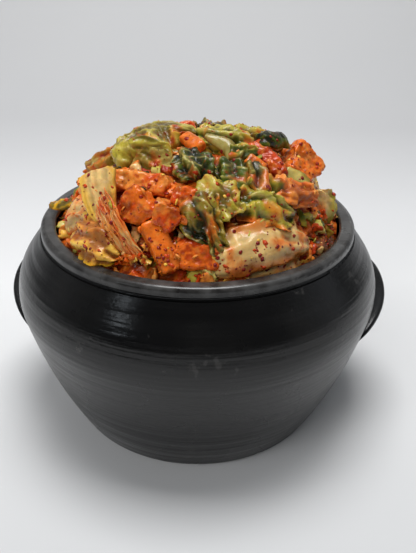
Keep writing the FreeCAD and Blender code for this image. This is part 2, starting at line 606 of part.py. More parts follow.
def leaves():
    """Thin leafy cabbage, draped over the stiff pieces."""
    width = "stem_width"
    camber = "leaf_camber"
    return {
        "leaf_fold_front": leaf("leaf_fold_front", (width, 1.1), ("leaf_thick", 1.3),
                                (camber, 1.0), FLAT, (-130, 30, -110, 40),
                                [(-135, 0.94, 0.13, 0.8), (-126, 0.95, 0.19, 1.0),
                                 (-118, 0.95, 0.18, 1.0), (-110, 0.95, 0.08, 0.5)]),
        "leaf_tip_left": leaf("leaf_tip_left", (width, 0.5), THIN, (camber, 0.5), FLAT,
                              (-170, 75, -150, 60),
                              [(-172, 1.07, 0.07, 0.7), (-169, 0.97, 0.10, 1.0),
                               (-165, 0.84, 0.18, 0.9)]),
        "leaf_olive_front": leaf("leaf_olive_front", (width, 1.1), THIN, (camber, 0.6),
                                 RUFFLED, (-85, 35, -75, 35),
                                 [(-83, 0.70, 0.60, 1.0), (-78, 0.80, 0.47, 0.95),
                                  (-74, 0.88, 0.33, 0.6), (-71, 0.95, 0.17, 0.35)]),
        "leaf_vein_front": leaf("leaf_vein_front", (width, 0.85), THIN, (camber, 0.6),
                                RUFFLED, (-75, 45, -65, 40),
                                [(-76, 0.62, 0.71, 0.8), (-70, 0.72, 0.61, 1.0),
                                 (-64, 0.82, 0.46, 0.8)]),
        "leaf_ruffled_right": leaf("leaf_ruffled_right", (width, 1.15), THIN, (camber, 0.5),
                                   RUFFLED, (-60, 45, -35, 40),
                                   [(-61, 0.71, 0.58, 0.9), (-48, 0.77, 0.51, 1.0),
                                    (-34, 0.84, 0.38, 0.8)]),
        "leaf_fold_right": leaf("leaf_fold_right", (width, 0.95), THIN, (camber, 1.2), FLAT,
                                (-40, 50, -30, 40),
                                [(-40, 0.70, 0.56, 0.7), (-28, 0.78, 0.50, 1.0),
                                 (-17, 0.85, 0.42, 0.7)]),
        "leaf_sunk_right": leaf("leaf_sunk_right", (width, 0.8), THIN, (camber, 0.4), FLAT,
                                (-30, 65, -15, 60),
                                [(-32, 0.90, -0.02, 0.8), (-22, 0.92, -0.02, 1.0),
                                 (-10, 0.93, -0.03, 0.8)]),
        "leaf_hood_top": leaf("leaf_hood_top", (width, 1.25), THIN, (camber, 1.4), RUFFLED,
                              (-170, 40, -140, 75),
                              [(-150, 0.58, 0.62, 0.8), (-154, 0.44, 0.80, 1.0),
                               (-156, 0.24, 0.88, 1.0), (-90, 0.10, 0.89, 0.5)]),
        "leaf_pale_inner": leaf("leaf_pale_inner", (width, 1.15), THIN, (camber, -0.6), FLAT,
                                (-110, 25, -90, 30),
                                [(-143, 0.58, 0.68, 0.7), (-128, 0.50, 0.73, 1.0),
                                 (-105, 0.44, 0.74, 0.8)]),
        "leaf_green_left": leaf("leaf_green_left", (width, 0.9), THIN, (camber, 1.0),
                                RUFFLED, (-90, 35, -80, 30),
                                [(-98, 0.38, 0.84, 0.8), (-86, 0.48, 0.76, 1.0),
                                 (-80, 0.58, 0.67, 0.8)]),
        "leaf_green_middle": leaf("leaf_green_middle", (width, 0.85), THIN, (camber, 1.2),
                                  RUFFLED, (-70, 40, -60, 35),
                                  [(-58, 0.48, 0.77, 0.9), (-60, 0.56, 0.69, 1.0),
                                   (-64, 0.64, 0.61, 0.7)]),
        "leaf_green_right": leaf("leaf_green_right", (width, 0.8), THIN, (camber, 1.2),
                                 RUFFLED, (-50, 40, -50, 35),
                                 [(-40, 0.54, 0.74, 0.8), (-44, 0.62, 0.65, 1.0),
                                  (-50, 0.68, 0.57, 0.7)]),
        "leaf_ridge_top": leaf("leaf_ridge_top", (width, 1.0), THIN, (camber, 0.8), RUFFLED,
                               (-90, 70, -60, 60),
                               [(-150, 0.04, 0.88, 0.7), (-30, 0.18, 0.86, 1.0),
                                (-8, 0.38, 0.81, 0.7)]),
        "leaf_triangle": leaf("leaf_triangle", (width, 0.7), THIN, (camber, 0.5), FLAT,
                              (-60, 40, -50, 40),
                              [(-54, 0.44, 0.80, 1.0), (-36, 0.45, 0.80, 0.7),
                               (-22, 0.46, 0.80, 0.3)]),
        "leaf_cap_top": leaf("leaf_cap_top", (width, 0.7), THIN, (camber, 1.6), FLAT,
                             (-20, 70, 0, 60),
                             [(-12, 0.42, 0.86, 0.7), (0, 0.50, 0.83, 1.0),
                              (12, 0.58, 0.77, 0.7)]),
        "leaf_bits_left": leaf("leaf_bits_left", (width, 1.0), THIN, (camber, 0.8), RUFFLED,
                               (-170, 45, -150, 50),
                               [(-168, 0.76, 0.46, 0.7), (-165, 0.68, 0.58, 1.0),
                                (-160, 0.58, 0.68, 0.8)]),
        "leaf_back_left": leaf("leaf_back_left", (width, 1.6), THIN, (camber, 1.4), RUFFLED,
                               (140, 45, 125, 40),
                               [(156, 0.34, 0.76, 0.8), (142, 0.54, 0.65, 1.0),
                                (132, 0.72, 0.49, 0.9)]),
        "leaf_back_middle": leaf("leaf_back_middle", (width, 1.7), THIN, (camber, 1.4),
                                 RUFFLED, (90, 50, 88, 35),
                                 [(85, 0.28, 0.78, 0.8), (90, 0.52, 0.65, 1.0),
                                  (93, 0.74, 0.43, 0.9), (96, 0.90, 0.16, 0.6)]),
        "leaf_back_right": leaf("leaf_back_right", (width, 1.5), THIN, (camber, 1.4),
                                RUFFLED, (55, 50, 50, 35),
                                [(46, 0.42, 0.74, 0.8), (52, 0.64, 0.59, 1.0),
                                 (55, 0.82, 0.35, 0.8)]),
        "leaf_back_low": leaf("leaf_back_low", (width, 1.1), THIN, (camber, 1.0), RUFFLED,
                              (115, 35, 100, 30),
                              [(126, 0.90, 0.26, 0.8), (114, 0.94, 0.14, 1.0),
                               (102, 0.95, 0.06, 0.7)]),
    }


stiff = sticks_and_chunks()
thick = ribs()
thin = leaves()
doc.recompute()


# ------------------------------------------------------------------ the heap's core
HEAP_RINGS = 9         # sections between the fill and the top of the core
RING_POINTS = 24       # points round a section
LUMP_WAVES = ((3, 0.9, 0.5), (5, -1.7, 0.35), (8, 2.3, 0.25))   # turns, drift, share
INSET_GROWTH = 6.0     # how fast the core draws in above the fill
LUMP_GROWTH = 3.0      # how fast its unevenness grows


def ring(level):
    """Closed uneven section of the core at a share of its height above the fill."""
    foot = size("crock_height") - size("fill_drop")
    tall = size("heap_rise") + size("fill_drop") - size("core_inset")
    reach = HEAP_REACH * math.sqrt(1 - level ** (1 / HEAP_POWER))
    points = []
    for number in range(RING_POINTS):
        turn = 2 * math.pi * number / RING_POINTS
        lump = sum(share * math.sin(waves * turn + drift * HEAP_RINGS * level)
                   for waves, drift, share in LUMP_WAVES)
        radius = reach * size("mouth_radius") - size("core_inset") * min(1.0, INSET_GROWTH * level)
        radius += size("heap_lump") * lump * min(1.0, LUMP_GROWTH * level)
        points.append(Vector(radius * math.cos(turn),
                             radius * math.sin(turn) - size("heap_lean") * level,
                             foot + tall * level))
    curve = Part.BSplineCurve()
    curve.interpolate(Points=points, PeriodicFlag=True)
    wire = doc.addObject("Part::Feature", "heap_ring")
    wire.Shape = Part.Wire([curve.toShape()])
    return wire


TRIMMED = (0.9, 1.5)   # what trimming the fill takes off, against a plain disc under the rim


def kimchi_fill():
    """What fills the crock, from the floor to just under the rim, fitting its inside."""
    body = doc.addObject("PartDesign::Body", "fill_body")
    full_turn(body, "Revolution", "fill_solid", cavity_sketch(body, "fill_outline"))
    doc.recompute()
    before = body.Tip.Shape.Volume
    trim = body.newObject("Sketcher::SketchObject", "fill_level")
    trim.AttachmentSupport = [(origin_plane(body, "XY_Plane"), "")]
    trim.MapMode = "FlatFace"
    trim.setExpression("AttachmentOffset.Base.z", "sizes.crock_height - sizes.fill_drop")
    circle = trim.addGeometry(Part.Circle(Vector(), Vector(0, 0, 1), size("belly_radius")))
    trim.addConstraint(Sketcher.Constraint("Coincident", circle, 3, -1, 1))
    bind(trim, "Radius", circle, size("belly_radius"), "sizes.belly_radius")
    top = body.newObject("PartDesign::Pocket", "fill_top")
    top.Profile = trim
    top.Reversed = True
    top.setExpression("Length", "sizes.fill_drop * 2")
    doc.recompute()
    lost = before - body.Tip.Shape.Volume
    slab = math.pi * size("mouth_radius") ** 2 * size("fill_drop")
    assert TRIMMED[0] < lost / slab < TRIMMED[1], "the fill was trimmed on the wrong side"
    return body


def heap_core():
    """The cut kimchi that fills the crock and rises in the middle, as one solid."""
    levels = [number / float(HEAP_RINGS) for number in range(HEAP_RINGS)]
    mound = doc.addObject("Part::Loft", "mound")
    mound.Sections = [ring(level) for level in levels]
    mound.Solid = True
    core = doc.addObject("Part::MultiFuse", "core")
    core.Shapes = [kimchi_fill(), mound]
    return core


# ------------------------------------------------------------------ seating
OVERLAP = 0.05         # cubic millimetres that two pieces may share before one is cut


def overlap(first, second):
    """Volume that two shapes share."""
    if not first.BoundBox.intersect(second.BoundBox):
        return 0.0
    return first.common(second).Volume


def seat(name, piece, others):
    """Cut a piece to lie face to face against the others that it would run into."""
    for other in others:
        if overlap(piece.Shape, other.Shape) < OVERLAP:
            continue
        cut = doc.addObject("Part::Cut", name + "_seat")
        cut.Base = piece
        cut.Tool = other
        doc.recompute()
        piece = cut
    return piece


def keep_whole(name, shape):
    """Give a seated piece its node: its one solid, without crumbs that the cuts left."""
    solids = sorted(shape.Solids, key=lambda solid: solid.Volume)
    node = doc.addObject("Part::Feature", name)
    node.Shape = solids[-1]
    node.Label = name
    return node


def check_document():
    """Stop if any object failed or any node is not one valid solid."""
    for item in doc.Objects:
        assert not {"Invalid", "Error"} & set(item.State), item.Name + " failed"
    for node in nodes:
        shape = node.Shape
        assert not shape.isNull() and shape.isValid(), node.Label + " has no valid shape"
        assert len(shape.Solids) == 1 and shape.Volume > 0, node.Label + " is not one solid"


core = heap_core()
doc.recompute()
pieces = list(stiff.items()) + list(thick.items()) + list(thin.items())
nodes = [crock]
for number, (name, piece) in enumerate(pieces):
    earlier = [other for _, other in pieces[:number]]
    nodes.append(keep_whole(name, seat(name, piece, earlier + [crock]).Shape))
nodes.append(keep_whole("kimchi_heap", core.Shape.cut([piece.Shape for _, piece in pieces])))
doc.recompute()
check_document()

os.makedirs("parts", exist_ok=True)
for node in nodes:
    node.Shape.exportStep("parts/%s.step" % node.Label)
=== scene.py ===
"""Looks of the crock of kimchi: dark glaze on the crock, and every piece of the heap as real food.

Lengths are written in millimetres, as in the part's source, and become metres in build_mesh().
"""
import itertools
import math
import bpy
import numpy as np
from mathutils import Matrix, Vector
from mathutils.bvhtree import BVHTree


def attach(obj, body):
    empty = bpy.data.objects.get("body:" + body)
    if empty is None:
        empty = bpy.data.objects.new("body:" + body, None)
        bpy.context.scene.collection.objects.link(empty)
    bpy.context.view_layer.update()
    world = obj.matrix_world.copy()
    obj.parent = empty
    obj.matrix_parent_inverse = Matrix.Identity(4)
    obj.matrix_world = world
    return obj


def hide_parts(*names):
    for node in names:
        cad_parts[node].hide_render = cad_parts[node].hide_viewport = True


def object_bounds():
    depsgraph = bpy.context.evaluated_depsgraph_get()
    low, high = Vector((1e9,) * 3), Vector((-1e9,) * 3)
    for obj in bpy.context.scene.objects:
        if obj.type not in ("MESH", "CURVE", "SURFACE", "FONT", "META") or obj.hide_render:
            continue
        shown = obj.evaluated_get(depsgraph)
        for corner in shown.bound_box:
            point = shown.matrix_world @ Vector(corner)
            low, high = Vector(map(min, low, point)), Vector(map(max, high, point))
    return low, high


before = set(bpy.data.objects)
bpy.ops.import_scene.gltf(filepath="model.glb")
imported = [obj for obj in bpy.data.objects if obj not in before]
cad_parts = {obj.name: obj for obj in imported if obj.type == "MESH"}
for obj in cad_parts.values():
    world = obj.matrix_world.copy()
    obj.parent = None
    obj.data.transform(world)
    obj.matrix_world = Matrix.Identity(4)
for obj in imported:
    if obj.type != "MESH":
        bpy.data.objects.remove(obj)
cad_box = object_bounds()

MM = 0.001

# Sizes that the part's source has too.
MOUTH_RADIUS = 62.8
CROCK_HEIGHT = 96.0
HEAP_RISE = 42.0
FILL_DROP = 4.0          # depth of the kimchi below the rim at the wall
CORE_INSET = 5.0         # depth of the core below the heap's outline
HEAP_LEAN = 5.0          # how far the heap's top leans to the front

TOP_SOFT = 4.0           # depth below the CAD box's top in which peaks are pressed down
TOP_GAP = 0.1            # what stays free under that top

# Relief of a leaf: lengths along and across it.
LEAF_STEP = 0.55         # between its mesh points
LOBE = 9.0               # lobes of its edge
TEAR = 6.0               # tears at its ends
FRILL = 5.0              # frills of its edge
PLEAT = 6.5              # from one pleat to the next
PLEAT_DRIFT = 15.0       # over which pleats wander
CREASE_DRIFT = 12.0      # over which creases wander
CREASE = 6.0
WRINKLE = 2.6
ALONG_GRAIN = np.array([0.45, 1.0, 1.0])  # creases are longer along a leaf than across
BLISTER = 3.2
VEIN_GAP = 4.6           # from one side vein to the next
VEIN_SLOPE = 0.8         # how far side veins run forward for each length outward
VEIN_RISE = 0.35
VEIN_HALF = 0.09         # half width of a side vein, as a share of VEIN_GAP
MIDRIB_HALF = 0.07       # half width of the midrib, as a share of half the leaf's width
FOLD = 10.0              # large folds of the whole piece
RUMPLE = 3.0             # small ones of its face
RUMPLE_RISE = 0.25

# The core's mesh and relief.
CORE_ROWS, CORE_COLUMNS = 110, 360
CORE_LUMP = 8.0
CORE_GRAIN = 2.0
CORE_SKIRT = 14.0        # how far the core goes on down inside the crock

# Small things.
BARE_GAP = 0.4           # nearer than this to the core, a place counts as bare
SCATTER_SHARE = 0.96     # share of the mouth's radius that they keep to
SCATTER_TRIES = 1500
FLAKE_TRIES = 3600
FLAKE_CORNERS = 6
SEED_EVERY = 14          # one seed among so many flakes
STRANDS = 26

# The camera, in metres and degrees.
CAMERA_PLACE = (0.04558, -0.25851, 0.20756)
CAMERA_HEADING = 98.945
CAMERA_PITCH = 28.927
CAMERA_ROLL = 0.7865
CAMERA_LENS = 40.36


# ------------------------------------------------------------------ colours and noise
def srgb(red, green, blue):
    """Linear colour of an 8-bit sRGB one."""
    levels = np.array([red, green, blue]) / 255.0
    return np.where(levels <= 0.04045, levels / 12.92, ((levels + 0.055) / 1.055) ** 2.4)


CREAM = srgb(226, 188, 120)
PALE = srgb(206, 188, 104)
BUTTER = srgb(242, 190, 78)
YELLOW = srgb(236, 176, 26)
PEACH = srgb(238, 148, 62)
OLIVE = srgb(140, 118, 32)
LIME = srgb(188, 172, 58)
GREEN = srgb(82, 98, 18)
DARK_GREEN = srgb(36, 44, 12)
ORANGE = srgb(232, 114, 30)
CARROT = srgb(236, 116, 26)
RED_ORANGE = srgb(208, 72, 16)
SAUCE = srgb(164, 48, 14)
DEEP_RED = srgb(116, 14, 16)
AMBER = srgb(204, 116, 44)
BROWN = srgb(82, 40, 16)


def hashed(cell, seed):
    """Repeatable number from 0 to 1 for whole-number cells, an array of (..., 3)."""
    mixed = (cell[..., 0] * 73856093) ^ (cell[..., 1] * 19349663) ^ (cell[..., 2] * 83492791)
    mixed = (mixed ^ (seed * 2654435761)) & 0xFFFFFFFF
    mixed = ((mixed ^ (mixed >> 15)) * 2246822519) & 0xFFFFFFFF
    mixed = ((mixed ^ (mixed >> 13)) * 3266489917) & 0xFFFFFFFF
    return (mixed ^ (mixed >> 16)) / 4294967295.0


def noise(points, scale, seed=0, octaves=1):
    """Smooth noise from about -1 to 1 at points (n, 3), with features `scale` long."""
    points = np.asarray(points, float)
    total = np.zeros(points.shape[:-1])
    share = 1.0
    weight_sum = 0.0
    for octave in range(octaves):
        place = points * (2.0 ** octave / scale) + 11.7 * octave
        base = np.floor(place).astype(np.int64)
        part = place - base
        ease = part * part * part * (part * (part * 6 - 15) + 10)
        value = np.zeros(points.shape[:-1])
        for corner in itertools.product((0, 1), repeat=3):
            weight = np.prod(np.where(np.array(corner) == 1, ease, 1 - ease), axis=-1)
            value += weight * hashed(base + np.array(corner), seed + 7 * octave)
        total += share * (2 * value - 1)
        weight_sum += share
        share *= 0.5
    return total / weight_sum * 1.6


def cells(across, along, seed):
    """Distances to the nearest and the second nearest of jittered cell centres."""
    column = np.floor(across).astype(np.int64)
    row = np.floor(along).astype(np.int64)
    first = np.full(across.shape, 9.0)
    second = np.full(across.shape, 9.0)
    for shift in itertools.product((-1, 0, 1), repeat=2):
        cell = np.stack([column + shift[0], row + shift[1], np.zeros_like(column)], axis=-1)
        dx = cell[..., 0] + hashed(cell, seed) - across
        dy = cell[..., 1] + hashed(cell, seed + 1) - along
        gap = np.hypot(dx, dy)
        second = np.minimum(second, np.maximum(first, gap))
        first = np.minimum(first, gap)
    return first, second


def warp(points, scale, amount, seed):
    """Points pushed about by three noises, so that a sheet rolls and folds as well as bulges."""
    push = np.stack([noise(points, scale, seed + 17 * axis, 2) for axis in range(3)], axis=-1)
    return points + amount * push


def smooth(low, high, value):
    """0 below low, 1 above high, and an S between them."""
    share = np.clip((value - low) / (high - low), 0, 1)
    return share * share * (3 - 2 * share)


def blend(first, second, share):
    """Colours (n, 3) between two, by share (n,), or one colour by one share."""
    return first + (second - first) * np.clip(share, 0, 1)[..., None]


# ------------------------------------------------------------------ placing
def spot(azimuth, share, lift):
    """Point at an azimuth, a share of the mouth's radius and a share of the heap's rise."""
    turn = math.radians(azimuth)
    return np.array([share * MOUTH_RADIUS * math.cos(turn), share * MOUTH_RADIUS * math.sin(turn),
                     CROCK_HEIGHT + lift * HEAP_RISE])


def direction(azimuth, elevation):
    """Unit vector at an azimuth and an elevation, in degrees."""
    turn = math.radians(azimuth)
    rise = math.radians(elevation)
    return np.array([math.cos(rise) * math.cos(turn), math.cos(rise) * math.sin(turn),
                     math.sin(rise)])


def unit(vector):
    """Vectors (..., 3) made one long."""
    return vector / np.maximum(np.linalg.norm(vector, axis=-1, keepdims=True), 1e-9)


def path(values, count):
    """Catmull-Rom curve through rows of values, `count` samples from the first to the last."""
    values = np.asarray(values, float)
    padded = np.vstack([2 * values[0] - values[1], values, 2 * values[-1] - values[-2]])
    place = np.linspace(0, len(values) - 1, count)
    leg = np.minimum(place.astype(int), len(values) - 2)
    t = (place - leg)[:, None]
    a, b, c, d = (padded[leg + shift] for shift in range(4))
    return 0.5 * (2 * b + (c - a) * t + (2 * a - 5 * b + 4 * c - d) * t ** 2
                  + (3 * b - a - 3 * c + d) * t ** 3)


# ------------------------------------------------------------------ materials
def node_material(name):
    """Empty node material with its Principled shader."""
    material = bpy.data.materials.new(name)
    material.use_nodes = True
    return material, material.node_tree, material.node_tree.nodes["Principled BSDF"]


def add_node(tree, kind, inputs=(), **settings):
    """Add a shader node, set its settings, and fill or link its inputs by name."""
    made = tree.nodes.new(kind)
    for name, value in settings.items():
        setattr(made, name, value)
    for name, value in dict(inputs).items():
        if isinstance(value, bpy.types.NodeSocket):
            tree.links.new(value, made.inputs[name])
        else:
            made.inputs[name].default_value = value
    return made


def ramp(tree, value, stops):
    """Colour ramp over a value: stops are (place, (r, g, b))."""
    made = tree.nodes.new("ShaderNodeValToRGB")
    tree.links.new(value, made.inputs["Fac"])
    while len(made.color_ramp.elements) < len(stops):
        made.color_ramp.elements.new(0.5)
    for element, (place, colour) in zip(made.color_ramp.elements, stops):
        element.position = place
        element.color = (*colour, 1)
    return made.outputs["Color"]


def mix_colours(tree, share, first, second):
    """Colour between a linked one and another, linked or set."""
    made = add_node(tree, "ShaderNodeMix", data_type="RGBA", blend_type="MIX")
    tree.links.new(share, made.inputs["Factor"])
    tree.links.new(first, made.inputs["A"])
    if isinstance(second, bpy.types.NodeSocket):
        tree.links.new(second, made.inputs["B"])
    else:
        made.inputs["B"].default_value = (*second, 1)
    return made.outputs["Result"]


def food_material(name, roughness, subsurface, grain, stain):
    """Wet dressed vegetable: painted tint, sauce in fine spots, gloss that varies, fine bump."""
    material, tree, shader = node_material(name)
    where = add_node(tree, "ShaderNodeTexCoord").outputs["Object"]
    tint = add_node(tree, "ShaderNodeAttribute", attribute_name="tint").outputs["Color"]
    speck = add_node(tree, "ShaderNodeTexNoise", {"Vector": where, "Scale": 700.0, "Detail": 3.0})
    mask = ramp(tree, speck.outputs["Fac"], [(0.56, (0, 0, 0)), (0.68, (stain,) * 3)])
    tree.links.new(mix_colours(tree, mask, tint, SAUCE), shader.inputs["Base Color"])
    wet = add_node(tree, "ShaderNodeTexNoise", {"Vector": where, "Scale": 260.0, "Detail": 2.0})
    gloss = add_node(tree, "ShaderNodeMapRange",
                     {"Value": wet.outputs["Fac"], "From Min": 0.3, "From Max": 0.7,
                      "To Min": roughness - 0.12, "To Max": roughness + 0.14})
    tree.links.new(gloss.outputs["Result"], shader.inputs["Roughness"])
    fine = add_node(tree, "ShaderNodeTexNoise", {"Vector": where, "Scale": 1100.0, "Detail": 4.0})
    bump = add_node(tree, "ShaderNodeBump", {"Height": fine.outputs["Fac"], "Strength": grain,
                                             "Distance": 0.0005})
    tree.links.new(bump.outputs["Normal"], shader.inputs["Normal"])
    shader.inputs["Subsurface Weight"].default_value = subsurface
    shader.inputs["Subsurface Radius"].default_value = (1.0, 0.4, 0.15)
    shader.inputs["Subsurface Scale"].default_value = 0.0025
    shader.inputs["Specular IOR Level"].default_value = 0.32
    shader.inputs["Coat Weight"].default_value = 0.2
    shader.inputs["Coat Roughness"].default_value = 0.08
    return material


FOOD = {
    "dressed_kimchi": food_material("kimchi_mass", 0.3, 0.05, 0.6, 0.6),
    "green_leaf": food_material("kimchi_green", 0.3, 0.05, 0.4, 0.3),
    "yellow_leaf": food_material("kimchi_yellow", 0.34, 0.15, 0.4, 0.35),
    "cabbage_rib": food_material("kimchi_rib", 0.24, 0.25, 0.2, 0.15),
    "radish": food_material("kimchi_radish", 0.24, 0.3, 0.4, 0.4),
    "carrot": food_material("kimchi_carrot", 0.3, 0.2, 0.3, 0.3),
}


# ------------------------------------------------------------------ meshes
shown = []


def build_mesh(name, points, faces, tint, slot, nodes=()):
    """Piece of food from points in millimetres, faces and a linear colour for each point."""
    points = np.array(points, float)
    knee = cad_box[1][2] / MM - TOP_SOFT - TOP_GAP
    over = np.maximum(0, points[:, 2] - knee)
    points[:, 2] = np.minimum(points[:, 2], knee) + TOP_SOFT * (1 - np.exp(-over / TOP_SOFT))
    mesh = bpy.data.meshes.new(name)
    mesh.from_pydata((points * MM).tolist(), [], [list(face) for face in faces])
    mesh.validate()
    mesh.polygons.foreach_set("use_smooth", [True] * len(mesh.polygons))
    colour = mesh.attributes.new("tint", "FLOAT_COLOR", "POINT")
    painted = np.ones((len(mesh.vertices), 4), np.float32)
    painted[:, :3] = np.clip(tint, 0, 1)
    colour.data.foreach_set("color", painted.ravel())
    mesh.materials.append(FOOD[slot])
    made = bpy.data.objects.new(name, mesh)
    bpy.context.scene.collection.objects.link(made)
    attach(made, "root")
    if nodes:
        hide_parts(*nodes)
    shown.append(made)
    return made


def vertex_rows(mesh, what):
    """What each vertex has, "co" or "normal", as an array (n, 3)."""
    flat = np.empty(len(mesh.vertices) * 3, np.float32)
    mesh.vertices.foreach_get(what, flat)
    return flat.reshape(-1, 3)


def grid_faces(rows, columns, offset=0, flip=False):
    """Quads of a grid of points, row by row."""
    number = np.arange(rows * columns).reshape(rows, columns) + offset
    quads = np.stack([number[:-1, :-1], number[:-1, 1:], number[1:, 1:], number[1:, :-1]], -1)
    quads = quads.reshape(-1, 4)
    return quads[:, ::-1] if flip else quads


def shell_faces(rows, columns):
    """Quads of a closed shell: a front grid, a back grid and the strip that joins their edges."""
    count = rows * columns
    number = np.arange(count).reshape(rows, columns)
    edge = np.concatenate([number[0, :-1], number[:-1, -1], number[-1, :0:-1], number[:0:-1, 0]])
    following = np.roll(edge, -1)
    strip = np.stack([edge, edge + count, following + count, following], -1)
    return np.vstack([grid_faces(rows, columns), grid_faces(rows, columns, count, True), strip])


def tube_faces(rows, ring):
    """Quads of a closed tube of rings, with its two ends."""
    number = np.arange(rows * ring).reshape(rows, ring)
    after = np.roll(number, -1, axis=1)
    quads = np.stack([number[:-1], after[:-1], after[1:], number[1:]], -1).reshape(-1, 4)
    return quads.tolist() + [number[0][::-1].tolist(), number[-1].tolist()]


def leaf(name, slot, stations, width, thick, facing, paint, camber=3.0, crumple=1.0,
         frill=1.0, veined=1.0, blister=0.3, ragged=0.12, pleat=0.0, roll=0.0, rib=None,
         fold=1.3, seed=1, nodes=()):
    """Piece of cabbage along its stations: cambered, pleated, crumpled, frilled and folded.

    A station is (azimuth, share of the mouth, share of the rise, share of the width), and
    `facing` the azimuth and elevation that the leaf faces at its start, then at its end.
    `rib` is (place across, width, thickness).  `roll` turns the edges under.  `paint` gives
    each point its colour.  In the mesh, u runs from 0 to 1 along the leaf and v from -1 to 1
    across it.
    """
    rule = np.array([[*spot(*station[:3]), station[3]] for station in stations])
    rough = path(rule, 60)
    length = np.linalg.norm(np.diff(rough[:, :3], axis=0), axis=1).sum()
    rows = max(8, int(length / LEAF_STEP))
    columns = max(7, int(width / LEAF_STEP))
    line = path(rule, rows)
    along = unit(np.gradient(line[:, :3], axis=0))
    share = np.linspace(0, 1, rows)
    face = np.array([direction(facing[0] + (facing[2] - facing[0]) * part,
                               facing[1] + (facing[3] - facing[1]) * part) for part in share])
    side = unit(np.cross(face, along))
    out = unit(np.cross(along, side))
    u = np.repeat(share[:, None], columns, 1)
    v = np.repeat(np.linspace(-1, 1, columns)[None, :], rows, 0)
    flat = np.stack([u * length, v * width / 2, np.full_like(u, 31.0 * seed)], -1)
    edge = np.abs(v) ** 3
    end = smooth(0.8, 1.0, np.abs(2 * u - 1))
    spread = line[:, None, 3] * width / 2 * (1 + ragged * noise(flat, LOBE, seed, 2) * edge)
    spread = spread * (1 - 0.3 * end ** 2)
    bend = 4 * math.atan(2 * camber / width)
    angle = v * bend / 2 * (1 + roll * edge)
    ring = spread / math.sin(bend / 2)
    across = ring * np.sin(angle)
    lift = ring * (np.cos(angle) - math.cos(bend / 2))
    point = line[:, None, :3] + side[:, None] * across[..., None] + out[:, None] * lift[..., None]
    normal = side[:, None] * np.sin(angle)[..., None] + out[:, None] * np.cos(angle)[..., None]
    tear = noise(flat, TEAR, seed + 3, 2) * end * ragged * 9
    point = point + along[:, None] * tear[..., None]
    brink = np.stack([u * length, 50 * np.sign(v), 0 * u + seed], -1)
    height = frill * edge * (1.7 * noise(brink, FRILL, seed + 5, 2) - 0.2)
    crease = np.sin(flat[..., 1] * 2 * math.pi / PLEAT
                    + 2.2 * noise(flat, PLEAT_DRIFT, seed + 7, 2))
    height += pleat * crease
    lengthwise = warp(flat, CREASE_DRIFT, 3.0, seed + 90) * ALONG_GRAIN
    ridge = 0.6 - 2 * np.abs(noise(lengthwise, CREASE, seed + 9, 2))
    fine = 0.5 - 1.8 * np.abs(noise(lengthwise, WRINKLE, seed + 11, 2))
    height += crumple * (0.85 * ridge + 0.32 * fine)
    branch = (flat[..., 0] - VEIN_SLOPE * np.abs(flat[..., 1])
              + 1.2 * noise(flat, 5.0, seed + 12)) / VEIN_GAP
    vein = np.exp(-((branch - np.floor(branch) - 0.5) / VEIN_HALF) ** 2)
    vein = np.minimum(vein + np.exp(-(v / MIDRIB_HALF) ** 2), 1.0)
    height += veined * VEIN_RISE * vein
    first, second = cells(flat[..., 0] / BLISTER, flat[..., 1] / BLISTER, seed + 20)
    pillow = smooth(0.0, 0.5, second - first)
    height += blister * (pillow - 0.5)
    if rib:
        bell = np.exp(-((v - rib[0]) / rib[1]) ** 2)
        height += rib[2] * 0.35 * bell - blister * (pillow - 0.5) * bell
    # Mask of the hollows of the relief, which the paint functions use for painted shade.
    hollow = smooth(0.25, -1.0, 0.8 * ridge + 0.5 * fine + 0.5 * crease * min(1.0, pleat))
    body = thick * (1 - 0.6 * np.abs(v) ** 4) * (1 - 0.5 * end ** 2)
    if rib:
        body = body + rib[2] * bell
    front = warp(point + normal * height[..., None], FOLD, fold, seed + 60)
    back = warp(point + normal * (height - body)[..., None], FOLD, fold, seed + 60)
    front = warp(front, RUMPLE, RUMPLE_RISE, seed + 80)
    tint = paint(v, flat, veined * vein, hollow, seed)
    under = blend(tint, CREAM, 0.1) * 0.85
    points = np.vstack([front.reshape(-1, 3), back.reshape(-1, 3)])
    colours = np.vstack([tint.reshape(-1, 3), under.reshape(-1, 3)])
    return build_mesh(name, points, shell_faces(rows, columns), colours, slot, nodes)


# ------------------------------------------------------------------ painting
def sauced(tint, flat, seed, amount, colour=ORANGE, depth=0.8):
    """Sauce and stains over a tint: large soft patches broken up by small ones."""
    patch = noise(flat, 8.0, seed + 31, 3)
    small = noise(flat, 2.2, seed + 33, 2)
    share = smooth(0.55 - amount, 1.25 - amount, patch * 0.7 + small * 0.35 + 0.35)
    tint = blend(tint, colour, share * 0.85)
    deep = smooth(0.9 - 0.4 * amount, 1.25 - 0.3 * amount, patch * 0.5 + small * 0.6 + 0.4)
    return blend(tint, SAUCE, deep * depth)


def green_paint(ridge, valley, sauce, rim=None, vein=0.35):
    """Leafy cabbage: light ridges and veins, hollows darkened with painted shade, another colour
    at the edges.
    """
    def paint(v, flat, veins, hollow, seed):
        lean = noise(flat + 5.0, 7.0, seed + 13, 3)
        # Ridge to valley colour goes partly by random tone and partly by the hollows, as painted
        # shade.
        tint = blend(ridge, valley, smooth(-0.2, 0.9, hollow + 0.6 * lean + 0.1))
        tint = blend(tint, PALE, 2 * vein * veins * (1 - 0.8 * hollow))
        if rim is not None:
            tint = blend(tint, rim, smooth(0.7, 1.0, np.abs(v) + 0.2 * lean))
        tint = sauced(tint, flat, seed, sauce)
        # Painted shade: the hollows are darkened.
        return tint * (1 - 0.6 * hollow)[..., None]
    return paint


